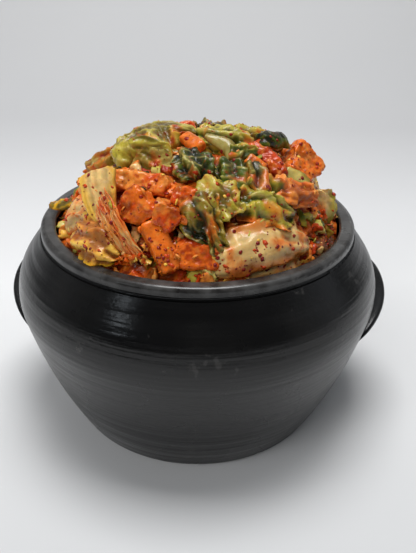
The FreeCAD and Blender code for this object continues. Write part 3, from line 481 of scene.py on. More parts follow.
def rib_paint(top, edge, sauce, fibre=0.12):
    """Thick rib: pale, streaked along its length, amber and stained at its edges, with painted
    shade in its hollows.
    """
    def paint(v, flat, veins, hollow, seed):
        streak = noise(flat * np.array([0.07, 1.0, 1.0]), 1.1, seed + 41, 2)
        lean = noise(flat + 5.0, 9.0, seed + 13, 2)
        tint = blend(top, edge, smooth(0.35, 0.95, np.abs(v) + 0.3 * lean))
        tint = tint * (1 + fibre * streak)[..., None]
        tint = sauced(tint, flat, seed, sauce, blend(ORANGE, PEACH, 0.4), 0.35)
        # Painted shade: the hollows are darkened a little.
        return tint * (1 - 0.25 * hollow)[..., None]
    return paint


# ------------------------------------------------------------------ the pieces
def cabbage():
    """Every leaf and rib that the source has, from its stations.

    The stem stops short of its last ones, where stem_strands() goes on.
    """
    def green(node, stations, width, facing, paint, thick=1.1, **shape):
        leaf(node + "_piece", "green_leaf", stations, width, thick, facing, paint,
             nodes=[node], **shape)

    def yellow(node, stations, width, facing, paint, thick=1.2, **shape):
        leaf(node + "_piece", "yellow_leaf", stations, width, thick, facing, paint,
             nodes=[node], **shape)

    def stalk(node, stations, width, thick, facing, paint, **shape):
        plain = dict(crumple=0.3, frill=0.3, veined=0.0, blister=0.05, fold=0.7, ragged=0.1)
        leaf(node + "_piece", "cabbage_rib", stations, width, thick, facing, paint,
             nodes=[node], **(plain | shape))

    yellow("leaf_fold_front",
           [(-135, 0.94, 0.13, 0.8), (-126, 0.95, 0.19, 1.0), (-118, 0.95, 0.18, 1.0),
            (-110, 0.95, 0.08, 0.5)], 18.7, (-130, 30, -110, 40),
           green_paint(BUTTER, PEACH, -0.1, YELLOW, 0.05), thick=1.6, camber=3.4,
           crumple=0.5, pleat=0.9, veined=0.2, seed=2)
    yellow("leaf_tip_left",
           [(-172, 1.07, 0.07, 0.7), (-169, 0.97, 0.10, 1.0), (-165, 0.84, 0.18, 0.9)],
           8.5, (-170, 75, -150, 60), green_paint(YELLOW, OLIVE, 0.1, None, 0.1), camber=1.5,
           crumple=0.5, fold=0.5, seed=3)
    green("leaf_olive_front",
          [(-83, 0.70, 0.60, 1.0), (-78, 0.80, 0.47, 0.95), (-74, 0.88, 0.33, 0.6),
           (-71, 0.95, 0.17, 0.35)], 18.7, (-85, 35, -75, 35),
          green_paint(OLIVE, DARK_GREEN, 0.35), thick=1.3, camber=3.0, crumple=1.5, pleat=1.0,
          seed=4)
    green("leaf_vein_front",
          [(-76, 0.62, 0.71, 0.8), (-70, 0.72, 0.61, 1.0), (-64, 0.82, 0.46, 0.8)],
          14.5, (-75, 45, -65, 40), green_paint(LIME, OLIVE, 0.12), camber=2.0,
          pleat=0.8, rib=(0.0, 0.18, 1.6), seed=5)
    green("leaf_ruffled_right",
          [(-61, 0.71, 0.58, 0.9), (-48, 0.77, 0.51, 1.0), (-34, 0.84, 0.38, 0.8)],
          19.5, (-60, 45, -35, 40), green_paint(LIME, GREEN, 0.15, ORANGE), camber=2.5,
          frill=1.6, crumple=1.5, pleat=0.9, seed=6)
    yellow("leaf_fold_right",
           [(-40, 0.70, 0.56, 0.7), (-28, 0.78, 0.50, 1.0), (-17, 0.85, 0.42, 0.7)],
           16.2, (-40, 50, -30, 40), green_paint(PEACH, ORANGE, 0.3, None, 0.1), camber=4.2,
           pleat=0.4, seed=7)
    yellow("leaf_sunk_right",
           [(-32, 0.90, -0.02, 0.8), (-22, 0.92, -0.02, 1.0), (-10, 0.93, -0.03, 0.8)],
           13.6, (-30, 65, -15, 60), green_paint(BROWN, BROWN, 0.2, None, 0.05), camber=1.2,
           fold=0.6, seed=8)
    green("leaf_hood_top",
          [(-150, 0.58, 0.62, 0.8), (-154, 0.44, 0.80, 1.0), (-156, 0.24, 0.88, 1.0),
           (-90, 0.10, 0.89, 0.5)], 21.2, (-170, 40, -140, 75),
          green_paint(LIME, OLIVE, 0.05, None, 0.5), thick=1.3, camber=6.0, crumple=1.5,
          blister=0.5, roll=0.3, seed=9)
    green("leaf_pale_inner",
          [(-143, 0.58, 0.68, 0.7), (-128, 0.50, 0.73, 1.0), (-105, 0.44, 0.74, 0.8)],
          19.5, (-110, 25, -90, 30), green_paint(PALE * 0.8, OLIVE, 0.05, LIME, 0.3),
          camber=-2.4, crumple=0.8, seed=10)
    green("leaf_green_left",
          [(-98, 0.38, 0.84, 0.8), (-86, 0.48, 0.76, 1.0), (-80, 0.58, 0.67, 0.8)],
          15.3, (-90, 35, -80, 30), green_paint(GREEN, DARK_GREEN, 0.02), camber=4.0,
          crumple=1.6, pleat=1.2, frill=0.9, seed=11)
    green("leaf_green_middle",
          [(-58, 0.48, 0.77, 0.9), (-60, 0.56, 0.69, 1.0), (-64, 0.64, 0.61, 0.7)],
          14.5, (-70, 40, -60, 35), green_paint(GREEN, DARK_GREEN, 0.02), camber=4.4,
          crumple=1.6, pleat=1.3, frill=0.9, seed=12)
    green("leaf_green_right",
          [(-40, 0.54, 0.74, 0.8), (-44, 0.62, 0.65, 1.0), (-50, 0.68, 0.57, 0.7)],
          13.6, (-50, 40, -50, 35), green_paint(OLIVE, DARK_GREEN, 0.2), camber=4.2,
          crumple=1.5, pleat=1.0, frill=0.9, seed=13)
    green("leaf_ridge_top",
          [(-150, 0.04, 0.88, 0.7), (-30, 0.18, 0.86, 1.0), (-8, 0.38, 0.81, 0.7)],
          17.0, (-90, 70, -60, 60), green_paint(LIME, GREEN, 0.2), camber=3.0,
          crumple=1.2, pleat=1.0, frill=0.9, fold=1.0, seed=14)
    green("leaf_triangle",
          [(-54, 0.44, 0.80, 1.0), (-36, 0.45, 0.80, 0.7), (-22, 0.46, 0.80, 0.3)],
          11.9, (-60, 40, -50, 40), green_paint(LIME, GREEN, 0.0), camber=1.8, pleat=0.6,
          fold=0.8, seed=15)
    green("leaf_cap_top",
          [(-12, 0.42, 0.86, 0.7), (0, 0.50, 0.83, 1.0), (12, 0.58, 0.77, 0.7)],
          11.9, (-20, 70, 0, 60), green_paint(GREEN, DARK_GREEN, 0.0, None, 0.1),
          camber=4.5, crumple=0.5, fold=0.8, seed=16)
    green("leaf_bits_left",
          [(-168, 0.76, 0.46, 0.7), (-165, 0.68, 0.58, 1.0), (-160, 0.58, 0.68, 0.8)],
          17.0, (-170, 45, -150, 50), green_paint(OLIVE, SAUCE, 0.3), camber=3.0,
          pleat=0.8, seed=17)
    green("leaf_back_left",
          [(156, 0.34, 0.76, 0.8), (142, 0.54, 0.65, 1.0), (132, 0.72, 0.49, 0.9)],
          27.2, (140, 45, 125, 40), green_paint(LIME, GREEN, 0.15), camber=5.0,
          frill=1.5, crumple=2.0, pleat=0.9, seed=18)
    green("leaf_back_middle",
          [(85, 0.28, 0.78, 0.8), (90, 0.52, 0.65, 1.0), (93, 0.74, 0.43, 0.9),
           (96, 0.90, 0.16, 0.6)], 28.9, (90, 50, 88, 35),
          green_paint(OLIVE, DARK_GREEN, 0.12), camber=5.0, frill=1.5, crumple=2.0,
          pleat=0.9, rib=(0.0, 0.16, 2.0), seed=19)
    green("leaf_back_right",
          [(46, 0.42, 0.74, 0.8), (52, 0.64, 0.59, 1.0), (55, 0.82, 0.35, 0.8)],
          25.5, (55, 50, 50, 35), green_paint(LIME, OLIVE, 0.2, ORANGE), camber=5.0,
          frill=1.5, crumple=2.0, pleat=0.9, seed=20)
    yellow("leaf_back_low",
           [(126, 0.90, 0.26, 0.8), (114, 0.94, 0.14, 1.0), (102, 0.95, 0.06, 0.7)],
           18.7, (115, 35, 100, 30), green_paint(PEACH, ORANGE, 0.3, YELLOW), camber=3.4,
           pleat=0.7, seed=21)
    stalk("stem_fan",
          [(-134, 0.80, 0.71, 1.1), (-129, 0.83, 0.58, 0.95), (-124, 0.86, 0.44, 0.75),
           (-120, 0.87, 0.30, 0.5)], 17.0, 5.5, (-104, 10, -100, 30),
          rib_paint(CREAM, BUTTER, -0.1, 0.2), camber=1.0, ragged=0.0, seed=22)
    stalk("cabbage_rib_front",
          [(-76, 0.93, 0.06, 0.75), (-65, 0.91, 0.17, 1.0), (-52, 0.90, 0.22, 1.0),
           (-40, 0.91, 0.18, 0.85), (-31, 0.93, 0.09, 0.4)], 18.0, 4.0, (-70, 35, -45, 45),
          rib_paint(CREAM, AMBER, 0.2), camber=3.8, pleat=0.3, crumple=0.15, fold=1.0,
          seed=23)
    stalk("cabbage_rib_under",
          [(-62, 0.94, 0.0, 0.8), (-50, 0.94, 0.02, 1.0), (-38, 0.94, 0.0, 0.6)], 12.8, 4.0,
          (-60, 30, -45, 30), rib_paint(CREAM, PEACH, 0.0), camber=1.8, pleat=0.5, seed=24)
    stalk("cabbage_chunk_left",
          [(-156, 0.91, 0.07, 0.7), (-148, 0.89, 0.17, 1.0), (-139, 0.83, 0.30, 0.8)], 17.9,
          5.5, (-150, 30, -140, 35), rib_paint(CREAM, ORANGE, 0.35), camber=2.7,
          crumple=0.8, blister=0.1, seed=25)
    stalk("cabbage_chunk_right",
          [(-10, 0.86, 0.03, 0.85), (-9, 0.86, 0.20, 1.0), (-9, 0.82, 0.38, 0.9)], 17.9, 6.5,
          (-55, 10, -60, 25), rib_paint(CREAM, LIME, 0.05), camber=1.5,
          crumple=1.4, frill=0.8, blister=0.3, fold=1.2, seed=26)
    stalk("stem_under_right",
          [(-18, 0.62, 0.62, 0.8), (-16, 0.70, 0.52, 1.0), (-14, 0.78, 0.42, 0.8)], 11.0,
          4.0, (-60, 25, -60, 25), rib_paint(PALE, OLIVE, 0.1), camber=1.5, seed=27)
    stalk("rib_arc_top",
          [(-66, 0.20, 0.93, 0.7), (-44, 0.34, 0.85, 1.0), (-52, 0.44, 0.75, 1.0),
           (-68, 0.48, 0.69, 0.7)], 6.1, 2.6, (-100, 40, -100, 30),
          rib_paint(PALE * 0.65, OLIVE, 0.1), camber=1.4, crumple=0.1, frill=0.1, fold=0.3,
          seed=28)
    stalk("cabbage_rib_back",
          [(164, 0.76, 0.48, 0.8), (150, 0.86, 0.32, 1.0), (134, 0.92, 0.10, 0.8)], 22.0,
          4.0, (150, 35, 125, 35), rib_paint(CREAM, ORANGE, 0.2), camber=2.8, seed=29)
    stalk("cabbage_rib_side",
          [(44, 0.74, 0.52, 0.8), (32, 0.86, 0.34, 1.0), (21, 0.92, 0.10, 0.8)], 18.7, 4.0,
          (35, 35, 15, 35), rib_paint(CREAM, ORANGE, 0.2), camber=2.8, seed=30)


def lump(node, slot, colour, second, voxel, rough, soft, sauce, seed):
    """Cut chunk or stick: the node's own form, remeshed, softened and roughened as food is.

    `voxel` is the mesh's grain and `rough` the relief's height, both in millimetres, and
    `soft` is how many times the form is smoothed.
    """
    copy = bpy.data.objects.new(node + "_form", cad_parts[node].data.copy())
    bpy.context.scene.collection.objects.link(copy)
    remesh = copy.modifiers.new("even", "REMESH")
    remesh.mode = "VOXEL"
    remesh.voxel_size = voxel * MM
    relax = copy.modifiers.new("soft", "SMOOTH")
    relax.factor = 0.5
    relax.iterations = soft
    graph = bpy.context.evaluated_depsgraph_get()
    mesh = bpy.data.meshes.new_from_object(copy.evaluated_get(graph))
    bpy.data.objects.remove(copy)
    point = vertex_rows(mesh, "co").astype(float) / MM
    normal = vertex_rows(mesh, "normal")
    bumps = noise(point, 4.5, seed, 3)
    height = rough * bumps + 0.45 * rough * noise(point, 1.6, seed + 2, 2)
    point = point + normal * (height - 0.2 * rough)[:, None]
    tint = blend(colour, second, smooth(-0.5, 0.6, noise(point, 6.0, seed + 4, 2)))
    tint = blend(tint, second * 0.7, 0.7 * smooth(0.1, 0.9, noise(point, 2.6, seed + 6, 3)))
    tint = blend(tint, PEACH, 0.65 * smooth(0.1, 0.8, noise(point, 2.0, seed + 8, 2)))
    # Painted shade: the pits of the relief are darkened.
    tint = sauced(tint, point, seed, sauce) * (1 - 0.45 * smooth(0.1, -0.9, bumps))[:, None]
    faces = [tuple(face.vertices) for face in mesh.polygons]
    bpy.data.meshes.remove(mesh)
    return build_mesh(node + "_piece", point, faces, tint, slot, [node])


def chunks():
    """Carrot sticks and radish chunks."""
    for number, node in enumerate(("carrot_stick_front", "carrot_end_front", "carrot_top",
                                   "carrot_bit_right", "carrot_stick_back")):
        lump(node, "carrot", CARROT, ORANGE, 0.5, 0.2, 1, 0.0, 50 + number)
    for number, (node, colour, second, sauce) in enumerate((
            ("radish_strip_top", RED_ORANGE, SAUCE, 0.2),
            ("radish_slab_left", PEACH, RED_ORANGE, 0.15),
            ("radish_chunk_left", ORANGE, RED_ORANGE, 0.25),
            ("radish_chunk_middle", PEACH, RED_ORANGE, 0.25),
            ("radish_chunk_centre", ORANGE, RED_ORANGE, 0.3),
            ("radish_chunk_red", RED_ORANGE, SAUCE, 0.5),
            ("radish_chunk_top", ORANGE, CARROT, 0.1),
            ("radish_chunk_back", ORANGE, RED_ORANGE, 0.3),
            ("radish_tip_top", PEACH, RED_ORANGE, 0.2))):
        lump(node, "radish", colour, second, 0.6, 0.75, 9, sauce, 60 + number)


def core_radius(level):
    """Radius of the core at a share of its height, by the same rule as in the part's source."""
    reach = 1.02 * math.sqrt(max(0.0, 1 - level ** (1 / 0.62)))
    return reach * MOUTH_RADIUS - CORE_INSET * min(1.0, 6 * level)


def core():
    """Dark dressed mass under the pieces, with painted shade in the gaps between its lumps, a
    little inside the node that it stands for.
    """
    foot = CROCK_HEIGHT - FILL_DROP
    tall = HEAP_RISE + FILL_DROP - CORE_INSET
    level = np.repeat(0.97 * (np.arange(CORE_ROWS) / (CORE_ROWS - 1.0)) ** 0.8, CORE_COLUMNS)
    turn = np.tile(2 * math.pi * np.arange(CORE_COLUMNS) / CORE_COLUMNS, CORE_ROWS)
    radius = np.array([core_radius(part) for part in level])
    points = np.stack([radius * np.cos(turn), radius * np.sin(turn) - HEAP_LEAN * level,
                       foot + tall * level], -1)
    outward = unit(points - np.array([0, 0, CROCK_HEIGHT - 20]))
    lumps = 0.5 - 1.6 * np.abs(noise(warp(points, 7.0, 2.0, 70), CORE_LUMP, 71, 2))
    height = 2.6 * lumps + 0.7 * noise(points, CORE_GRAIN, 72, 2) - 2.2
    points = points + outward * (height * smooth(0.0, 0.06, level))[:, None]
    points[:CORE_COLUMNS, 2] = foot - CORE_SKIRT
    tint = blend(ORANGE, SAUCE, smooth(-0.5, 0.5, noise(points, 6.0, 73, 3)))
    tint = blend(tint, OLIVE, 0.8 * smooth(0.35, 0.7, noise(points, 9.0, 77, 2)))
    tint = blend(tint, PEACH, 0.7 * smooth(0.4, 0.8, noise(points, 4.0, 78, 2)))
    tint = blend(tint, DEEP_RED, 0.8 * smooth(0.3, 0.9, noise(points, 3.0, 75, 2)))
    # Painted shade: the gaps between the lumps are darkened toward a dark brown.
    tint = blend(tint, BROWN * 0.4, smooth(0.1, -0.9, lumps))
    return build_mesh("kimchi_core", points, tube_faces(CORE_ROWS, CORE_COLUMNS), tint,
                      "dressed_kimchi", ["kimchi_heap"])


# ------------------------------------------------------------------ strips, bits and flakes
class Batch:
    """Many small solids gathered into one piece."""

    def __init__(self):
        self.points, self.faces, self.tints, self.count = [], [], [], 0

    def add(self, points, faces, tint):
        """Take in one solid, with one colour or one for each point."""
        points = np.asarray(points).reshape(-1, 3)
        self.points.append(points)
        self.tints.append(np.broadcast_to(tint, points.shape))
        self.faces += [[corner + self.count for corner in face] for face in faces]
        self.count += len(points)

    def build(self, name, slot):
        """Make one piece of all that was added; with nothing added there is no piece."""
        if self.count:
            build_mesh(name, np.vstack(self.points), self.faces, np.vstack(self.tints), slot)


def strip(batch, line, facing, width, thick, colour, second, seed, rows, ring, crinkle):
    """Flat strip along a line of points: an oval section that tapers, twists and crinkles."""
    line = path(line, rows)
    along = unit(np.gradient(line, axis=0))
    side = unit(np.cross(np.broadcast_to(facing, along.shape), along))
    out = np.cross(along, side)
    share = np.linspace(0, 1, rows)
    size = 1 - 0.7 * np.abs(2 * share - 1) ** 3
    twist = 0.9 * noise(np.stack([share * 2, 0 * share, 0 * share + seed], -1), 1.0, seed)
    turn = 2 * math.pi * np.arange(ring) / ring
    a = np.cos(turn)[None, :] * (width / 2 * size)[:, None]
    b = np.sin(turn)[None, :] * (thick / 2 * size)[:, None]
    c, s = np.cos(twist)[:, None], np.sin(twist)[:, None]
    points = line[:, None] + side[:, None] * (a * c - b * s)[..., None] \
        + out[:, None] * (a * s + b * c)[..., None]
    points = warp(points, 2.4, crinkle, seed)
    tint = blend(colour, second, smooth(-0.5, 0.6, noise(points, 4.0, seed + 3, 2)))
    batch.add(points, tube_faces(rows, ring), tint.reshape(-1, 3))


def landing(tree, wall, azimuth, share):
    """Place and normal where a ray from outside meets the food, or nothing at the crock."""
    aim = np.array([share * MOUTH_RADIUS * math.cos(azimuth),
                    share * MOUTH_RADIUS * math.sin(azimuth), CROCK_HEIGHT - 6.0])
    ray = direction(math.degrees(azimuth), 90 - 75 * share ** 1.2)
    start = aim + ray * 90.0
    hit = tree.ray_cast(Vector(start), Vector(-ray))
    if hit[0] is None:
        return None
    stop = wall.ray_cast(Vector(start), Vector(-ray))
    if stop[0] is not None and stop[3] < hit[3] + 1.0:
        return None
    return np.array(hit[0]), np.array(hit[1])


def food_tree(pieces):
    """Tree of the pieces' faces, in millimetres."""
    corners, faces, count = [], [], 0
    for piece in pieces:
        mesh = piece.data
        corners.append(vertex_rows(mesh, "co").astype(float) / MM)
        faces += [[corner + count for corner in face.vertices] for face in mesh.polygons]
        count += len(mesh.vertices)
    return BVHTree.FromPolygons(np.vstack(corners).tolist(), faces)


def scatter(tree, wall, count, seed):
    """Repeatable landings all over the heap: place, normal and four random shares."""
    draws = np.random.RandomState(seed).rand(count, 6)
    for azimuth, reach, *rest in draws:
        found = landing(tree, wall, 2 * math.pi * azimuth, SCATTER_SHARE * math.sqrt(reach))
        if found and found[0][2] < (cad_box[1][2] / MM) - 0.6:
            yield found[0], found[1], rest


def stem_strands():
    """Thin strands that fan out of the stem towards the lower right, crinkled at their ends."""
    batch = Batch()
    for number, (a, b, c, d) in enumerate(np.random.RandomState(5).rand(STRANDS, 4)):
        share = number / (STRANDS - 1.0)
        root = spot(-128 + 8.0 * share, 0.865 + 0.01 * a, 0.62 - 0.24 * (1 - share) + 0.04 * b)
        middle = spot(-119 + 10.0 * share + b, 0.93 + 0.015 * c, 0.31 + 0.08 * share)
        low = spot(-113 + 15.0 * share + 2 * c, 0.955, 0.03 + 0.16 * share * d)
        strip(batch, [root, middle, low], direction(-112, 25), 1.0 + 1.3 * d, 0.8,
              blend(CREAM, ORANGE, 0.25 + 0.6 * a), blend(PEACH, RED_ORANGE, a),
              300 + number, rows=22, ring=8, crinkle=0.45)
    for number, (a, b, c, d) in enumerate(np.random.RandomState(6).rand(STRANDS, 4)):
        centre = spot(-112 + 15.0 * a, 0.955, 0.02 + 0.22 * b * (0.4 + 0.6 * a))
        bend = np.array([2.4 * (c - 0.5), 0.0, 2.4 * (d - 0.5)])
        strip(batch, [centre - bend, centre + direction(-105, 20) * 0.8, centre + bend],
              direction(-105, 20), 2.4, 0.7, BUTTER if a > 0.5 else ORANGE, RED_ORANGE,
              340 + number, rows=9, ring=8, crinkle=0.9)
    batch.build("stem_strands", "cabbage_rib")


CHOPPED = {
    "leaf_shreds": ("green_leaf", [(LIME, GREEN), (GREEN, DARK_GREEN), (OLIVE, DARK_GREEN),
                                   (OLIVE, SAUCE)]),
    "yellow_shreds": ("yellow_leaf", [(PEACH, ORANGE), (ORANGE, SAUCE), (BUTTER, ORANGE)]),
    "rib_bits": ("cabbage_rib", [(CREAM, ORANGE), (PALE, LIME), (CREAM, PEACH)]),
    "radish_bits": ("radish", [(ORANGE, RED_ORANGE), (RED_ORANGE, SAUCE),
                               (PEACH, RED_ORANGE)]),
}


def chopped(wall, mass):
    """Shreds and bits: large ones that fill the gaps over the core, small ones on the pieces.

    High up they are mostly leaf.
    """
    mass_tree = food_tree([mass])
    batches = {kind: Batch() for kind in CHOPPED}
    names = list(CHOPPED)
    landings = scatter(food_tree(shown), wall, SCATTER_TRIES, 11)
    for number, (place, normal, rest) in enumerate(landings):
        bare = mass_tree.find_nearest(Vector(place))[3] < BARE_GAP
        if not bare and rest[3] > 0.12:
            continue
        pick = rest[0] * len(names)
        if place[2] > CROCK_HEIGHT + 20 and pick > 2.2:
            pick = rest[1] * 2
        kind = names[int(pick)]
        pairs = CHOPPED[kind][1]
        colour, second = pairs[int(rest[2] * 97) % len(pairs)]
        spin = 2 * math.pi * rest[1]
        first = unit(np.cross(normal, [0.3, 0.2, 1.0]))
        other = np.cross(normal, first)
        run = first * math.cos(spin) + other * math.sin(spin)
        size = (5.0 + 6.5 * rest[2]) if bare else (1.2 + 2.2 * rest[2])
        arch = normal * (0.25 * size * rest[3] if bare else 0.3)
        base = place + normal * 0.2
        width = size * (0.35 if "shreds" in kind else 0.45)
        strip(batches[kind], [base - run * size / 2 - arch * 0.5, base + arch,
                              base + run * size / 2 - arch * 0.5],
              normal, width, 0.8 if "leaf" in kind else 1.4 + 0.6 * rest[3], colour, second,
              400 + number, rows=12 if bare else 7, ring=10 if bare else 6,
              crinkle=0.9 if bare else 0.25)
    for kind, batch in batches.items():
        batch.build(kind, CHOPPED[kind][0])


def flakes(wall):
    """Chilli flakes and seeds over the whole heap, thick in some places and thin in others."""
    batch = Batch()
    seeds = Batch()
    corner = np.arange(FLAKE_CORNERS)
    faces = tube_faces(2, FLAKE_CORNERS)
    landings = scatter(food_tree(shown), wall, FLAKE_TRIES, 23)
    for number, (place, normal, rest) in enumerate(landings):
        if noise(place[None], 8.0, 90, 2)[0] < 0.15 and rest[3] > 0.22:
            continue
        first = unit(np.cross(normal, [0.5, 0.1, 1.0]))
        other = np.cross(normal, first)
        size = 0.24 + 0.8 * rest[0] ** 2.5
        turn = 2 * math.pi * (corner + rest[1]) / FLAKE_CORNERS
        chip = hashed(np.stack([corner, 0 * corner + number, 0 * corner], -1), 5)
        radius = (size * (0.7 + 0.5 * chip))[:, None]
        ring = place + (first[None] * np.cos(turn)[:, None] * radius * (0.6 + rest[2])
                        + other[None] * np.sin(turn)[:, None] * radius)
        tilt = normal + 0.5 * (rest[3] - 0.5) * first
        points = np.vstack([ring - tilt * 0.1, ring * 0.9 + place * 0.1 + tilt * 0.22])
        if number % SEED_EVERY == 0:
            seeds.add(points, faces, BUTTER)
        else:
            tone = blend(DEEP_RED, RED_ORANGE, rest[2] ** 3)
            batch.add(points, faces, tone * (0.6 + 0.6 * rest[0]))
    batch.build("chilli_flakes", "dressed_kimchi")
    seeds.build("chilli_seeds", "dressed_kimchi")


# ------------------------------------------------------------------ crock
def glaze():
    """Near-black glaze with a soft gloss: throwing rings, pinholes, scuffs, a grey rim that is
    partly wear and partly painted sheen.
    """
    material, tree, shader = node_material("dark_glaze")
    where = add_node(tree, "ShaderNodeTexCoord").outputs["Object"]
    cloud = add_node(tree, "ShaderNodeTexNoise", {"Vector": where, "Scale": 28.0, "Detail": 5.0})
    body = ramp(tree, cloud.outputs["Fac"],
                [(0.3, (0.0020, 0.0020, 0.0021)), (0.62, (0.0045, 0.0042, 0.0040)),
                 (0.8, (0.0085, 0.0070, 0.0058))])
    split = add_node(tree, "ShaderNodeSeparateXYZ", {"Vector": where})
    # The grey band along the rim's top is partly wear and partly a painted sheen in place of the
    # rim's reflection.
    wear_and_sheen_noise = add_node(tree, "ShaderNodeTexNoise", {"Vector": where, "Scale": 140.0, "Detail": 4.0})
    edge = add_node(tree, "ShaderNodeMath", {0: wear_and_sheen_noise.outputs["Fac"], 1: 0.006,
                                             2: split.outputs["Z"]}, operation="MULTIPLY_ADD")
    rim = add_node(tree, "ShaderNodeMapRange", {"Value": edge.outputs["Value"],
                                                "From Min": 0.0945, "From Max": 0.0985})
    tone = ramp(tree, wear_and_sheen_noise.outputs["Fac"],
                [(0.3, (0.016, 0.014, 0.013)), (0.5, (0.040, 0.038, 0.036)),
                 (0.7, (0.075, 0.074, 0.072))])
    glaze_with_rim_wear_and_sheen = mix_colours(tree, rim.outputs["Result"], body, tone)
    scuff = add_node(tree, "ShaderNodeTexNoise", {"Vector": where, "Scale": 300.0, "Detail": 2.0})
    place = add_node(tree, "ShaderNodeTexNoise", {"Vector": where, "Scale": 45.0, "Detail": 1.0})
    both = add_node(tree, "ShaderNodeMath", {0: scuff.outputs["Fac"], 1: place.outputs["Fac"]},
                    operation="MULTIPLY")
    marks = ramp(tree, both.outputs["Value"], [(0.40, (0, 0, 0)), (0.47, (0.25, 0.25, 0.25))])
    scuffed = mix_colours(tree, marks, glaze_with_rim_wear_and_sheen, (0.10, 0.095, 0.09))
    tree.links.new(scuffed, shader.inputs["Base Color"])
    gloss = add_node(tree, "ShaderNodeMapRange",
                     {"Value": cloud.outputs["Fac"], "From Min": 0.3, "From Max": 0.7,
                      "To Min": 0.2, "To Max": 0.34})
    tree.links.new(gloss.outputs["Result"], shader.inputs["Roughness"])
    squash = add_node(tree, "ShaderNodeMapping", {"Vector": where, "Scale": (0.25, 0.25, 6.0)})
    ripple = add_node(tree, "ShaderNodeTexNoise",
                      {"Vector": squash.outputs["Vector"], "Scale": 26.0, "Detail": 3.0})
    bump = add_node(tree, "ShaderNodeBump", {"Height": ripple.outputs["Fac"], "Strength": 0.6,
                                             "Distance": 0.0015})
    pits = add_node(tree, "ShaderNodeTexNoise", {"Vector": where, "Scale": 420.0, "Detail": 3.0})
    fine = add_node(tree, "ShaderNodeBump", {"Height": pits.outputs["Fac"], "Strength": 0.25,
                                             "Distance": 0.0003,
                                             "Normal": bump.outputs["Normal"]})
    tree.links.new(fine.outputs["Normal"], shader.inputs["Normal"])
    return material


def dress_crock():
    """The crock keeps its CAD form and gets the glaze."""
    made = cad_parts["crock"]
    made.data.materials.clear()
    made.data.materials.append(glaze())


# ------------------------------------------------------------------ stage
def stage_material():
    """Matt pale surface with painted light: palest just behind the crock as a painted pool of
    light, greyer where it turns upward as painted shade.
    """
    material, tree, shader = node_material("pale_floor")
    where = add_node(tree, "ShaderNodeTexCoord").outputs["Object"]
    split = add_node(tree, "ShaderNodeSeparateXYZ", {"Vector": where})
    cloud = add_node(tree, "ShaderNodeTexNoise", {"Vector": where, "Scale": 2.5, "Detail": 2.0})
    uneven = add_node(tree, "ShaderNodeMath", {0: cloud.outputs["Fac"], 1: 0.12, 2: -0.06},
                      operation="MULTIPLY_ADD")
    depth = add_node(tree, "ShaderNodeMath", {0: split.outputs["Y"], 1: uneven.outputs["Value"]})
    share = add_node(tree, "ShaderNodeMapRange", {"Value": depth.outputs["Value"],
                                                  "From Min": -0.5, "From Max": 1.5})
    # Painted light: the tone by depth paints a bright band behind the crock and shade where the
    # sweep turns upward.
    tone = ramp(tree, share.outputs["Result"],
                [(0.0, (0.64, 0.645, 0.65)), (0.2, (0.68, 0.685, 0.69)),
                 (0.30, (0.86, 0.863, 0.865)), (0.36, (0.80, 0.803, 0.81)),
                 (0.47, (0.64, 0.642, 0.65)), (0.62, (0.72, 0.722, 0.725)),
                 (0.85, (0.92, 0.92, 0.915))])
    tree.links.new(tone, shader.inputs["Base Color"])
    shader.inputs["Roughness"].default_value = 0.85
    shader.inputs["Specular IOR Level"].default_value = 0.1
    return material


def set_stage():
    """Pale floor that sweeps up into a pale backdrop."""
    reach = np.append([-6.0, -3.0], np.linspace(-1.2, 1.25, 120))
    rise = 1.7 * np.maximum(0, (reach - 0.15) / 1.1) ** 3.2
    points = [(x, y, z - 0.00002) for y, z in zip(reach, rise) for x in (-6.0, 6.0)]
    mesh = bpy.data.meshes.new("floor")
    mesh.from_pydata(points, [], [list(face) for face in grid_faces(len(reach), 2)])
    mesh.polygons.foreach_set("use_smooth", [True] * len(mesh.polygons))
    mesh.materials.append(stage_material())
    floor = bpy.data.objects.new("floor", mesh)
    floor.rotation_euler = (0, 0, math.radians(9))
    bpy.context.scene.collection.objects.link(floor)


def area_light(name, place, target, extent, power, colour=(1, 1, 1), in_gloss=True):
    """Rectangular lamp aimed at a target; out of gloss, reflections don't show it."""
    light = bpy.data.lights.new(name, "AREA")
    light.shape = "RECTANGLE"
    light.size, light.size_y = extent
    light.energy = power
    light.color = colour
    made = bpy.data.objects.new(name, light)
    made.location = place
    made.rotation_euler = (Vector(target) - Vector(place)).to_track_quat("-Z", "Y").to_euler()
    made.visible_glossy = in_gloss
    bpy.context.scene.collection.objects.link(made)


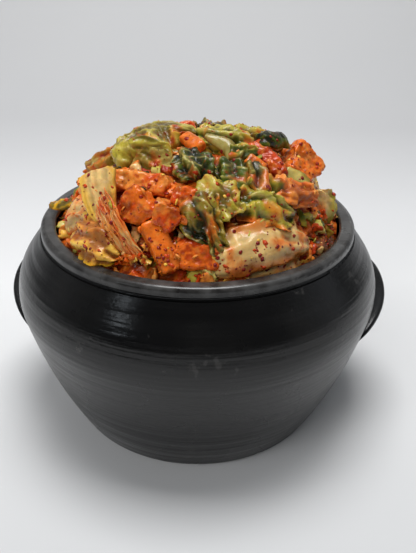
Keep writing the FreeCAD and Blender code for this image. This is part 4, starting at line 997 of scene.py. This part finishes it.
def light_scene():
    """Soft studio light: a lamp overhead, soft fill, a small window and a room dim in front."""
    area_light("overhead", (0.0, 0.05, 1.1), (0, 0, 0.1), (0.55, 0.5), 9.0)
    area_light("fill", (-0.5, -1.0, 0.9), (0, 0, 0.1), (0.9, 0.9), 7.0, in_gloss=False)
    area_light("window", (-0.62, -0.72, 0.66), (0, 0, 0.08), (0.11, 0.14), 0.22,
               (0.85, 0.93, 1.0))
    world = bpy.data.worlds.new("room")
    world.use_nodes = True
    tree = world.node_tree
    where = add_node(tree, "ShaderNodeTexCoord").outputs["Generated"]
    split = add_node(tree, "ShaderNodeSeparateXYZ", {"Vector": where})
    share = add_node(tree, "ShaderNodeMapRange", {"Value": split.outputs["Y"],
                                                  "From Min": -1.0, "From Max": 1.0})
    tone = ramp(tree, share.outputs["Result"],
                [(0.0, (0.05, 0.052, 0.056)), (0.35, (0.10, 0.105, 0.11)),
                 (0.6, (0.42, 0.44, 0.47)), (1.0, (0.55, 0.57, 0.6))])
    tree.links.new(tone, tree.nodes["Background"].inputs["Color"])
    tree.nodes["Background"].inputs["Strength"].default_value = 0.8
    bpy.context.scene.world = world


def set_camera():
    """Camera at the photograph's angle."""
    data = bpy.data.cameras.new("camera")
    data.sensor_width = 36.0
    data.lens = CAMERA_LENS
    camera = bpy.data.objects.new("camera", data)
    heading = math.radians(CAMERA_HEADING)
    pitch = math.radians(CAMERA_PITCH)
    roll = math.radians(CAMERA_ROLL)
    ahead = Vector((math.cos(heading), math.sin(heading), 0))
    right = Vector((math.sin(heading), -math.cos(heading), 0))
    look = ahead * math.cos(pitch) - Vector((0, 0, 1)) * math.sin(pitch)
    up = ahead * math.sin(pitch) + Vector((0, 0, 1)) * math.cos(pitch)
    rolled_right = right * math.cos(roll) + up * math.sin(roll)
    rolled_up = up * math.cos(roll) - right * math.sin(roll)
    turn = Matrix((rolled_right, rolled_up, -look)).transposed()
    camera.matrix_world = Matrix.Translation(CAMERA_PLACE) @ turn.to_4x4()
    bpy.context.scene.collection.objects.link(camera)
    bpy.context.scene.camera = camera


cabbage()
chunks()
stem_strands()
kimchi_mass = core()
crock_wall = food_tree([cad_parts["crock"]])
chopped(crock_wall, kimchi_mass)
flakes(crock_wall)
dress_crock()
set_stage()
light_scene()
set_camera()
bpy.context.scene.view_settings.view_transform = "Standard"
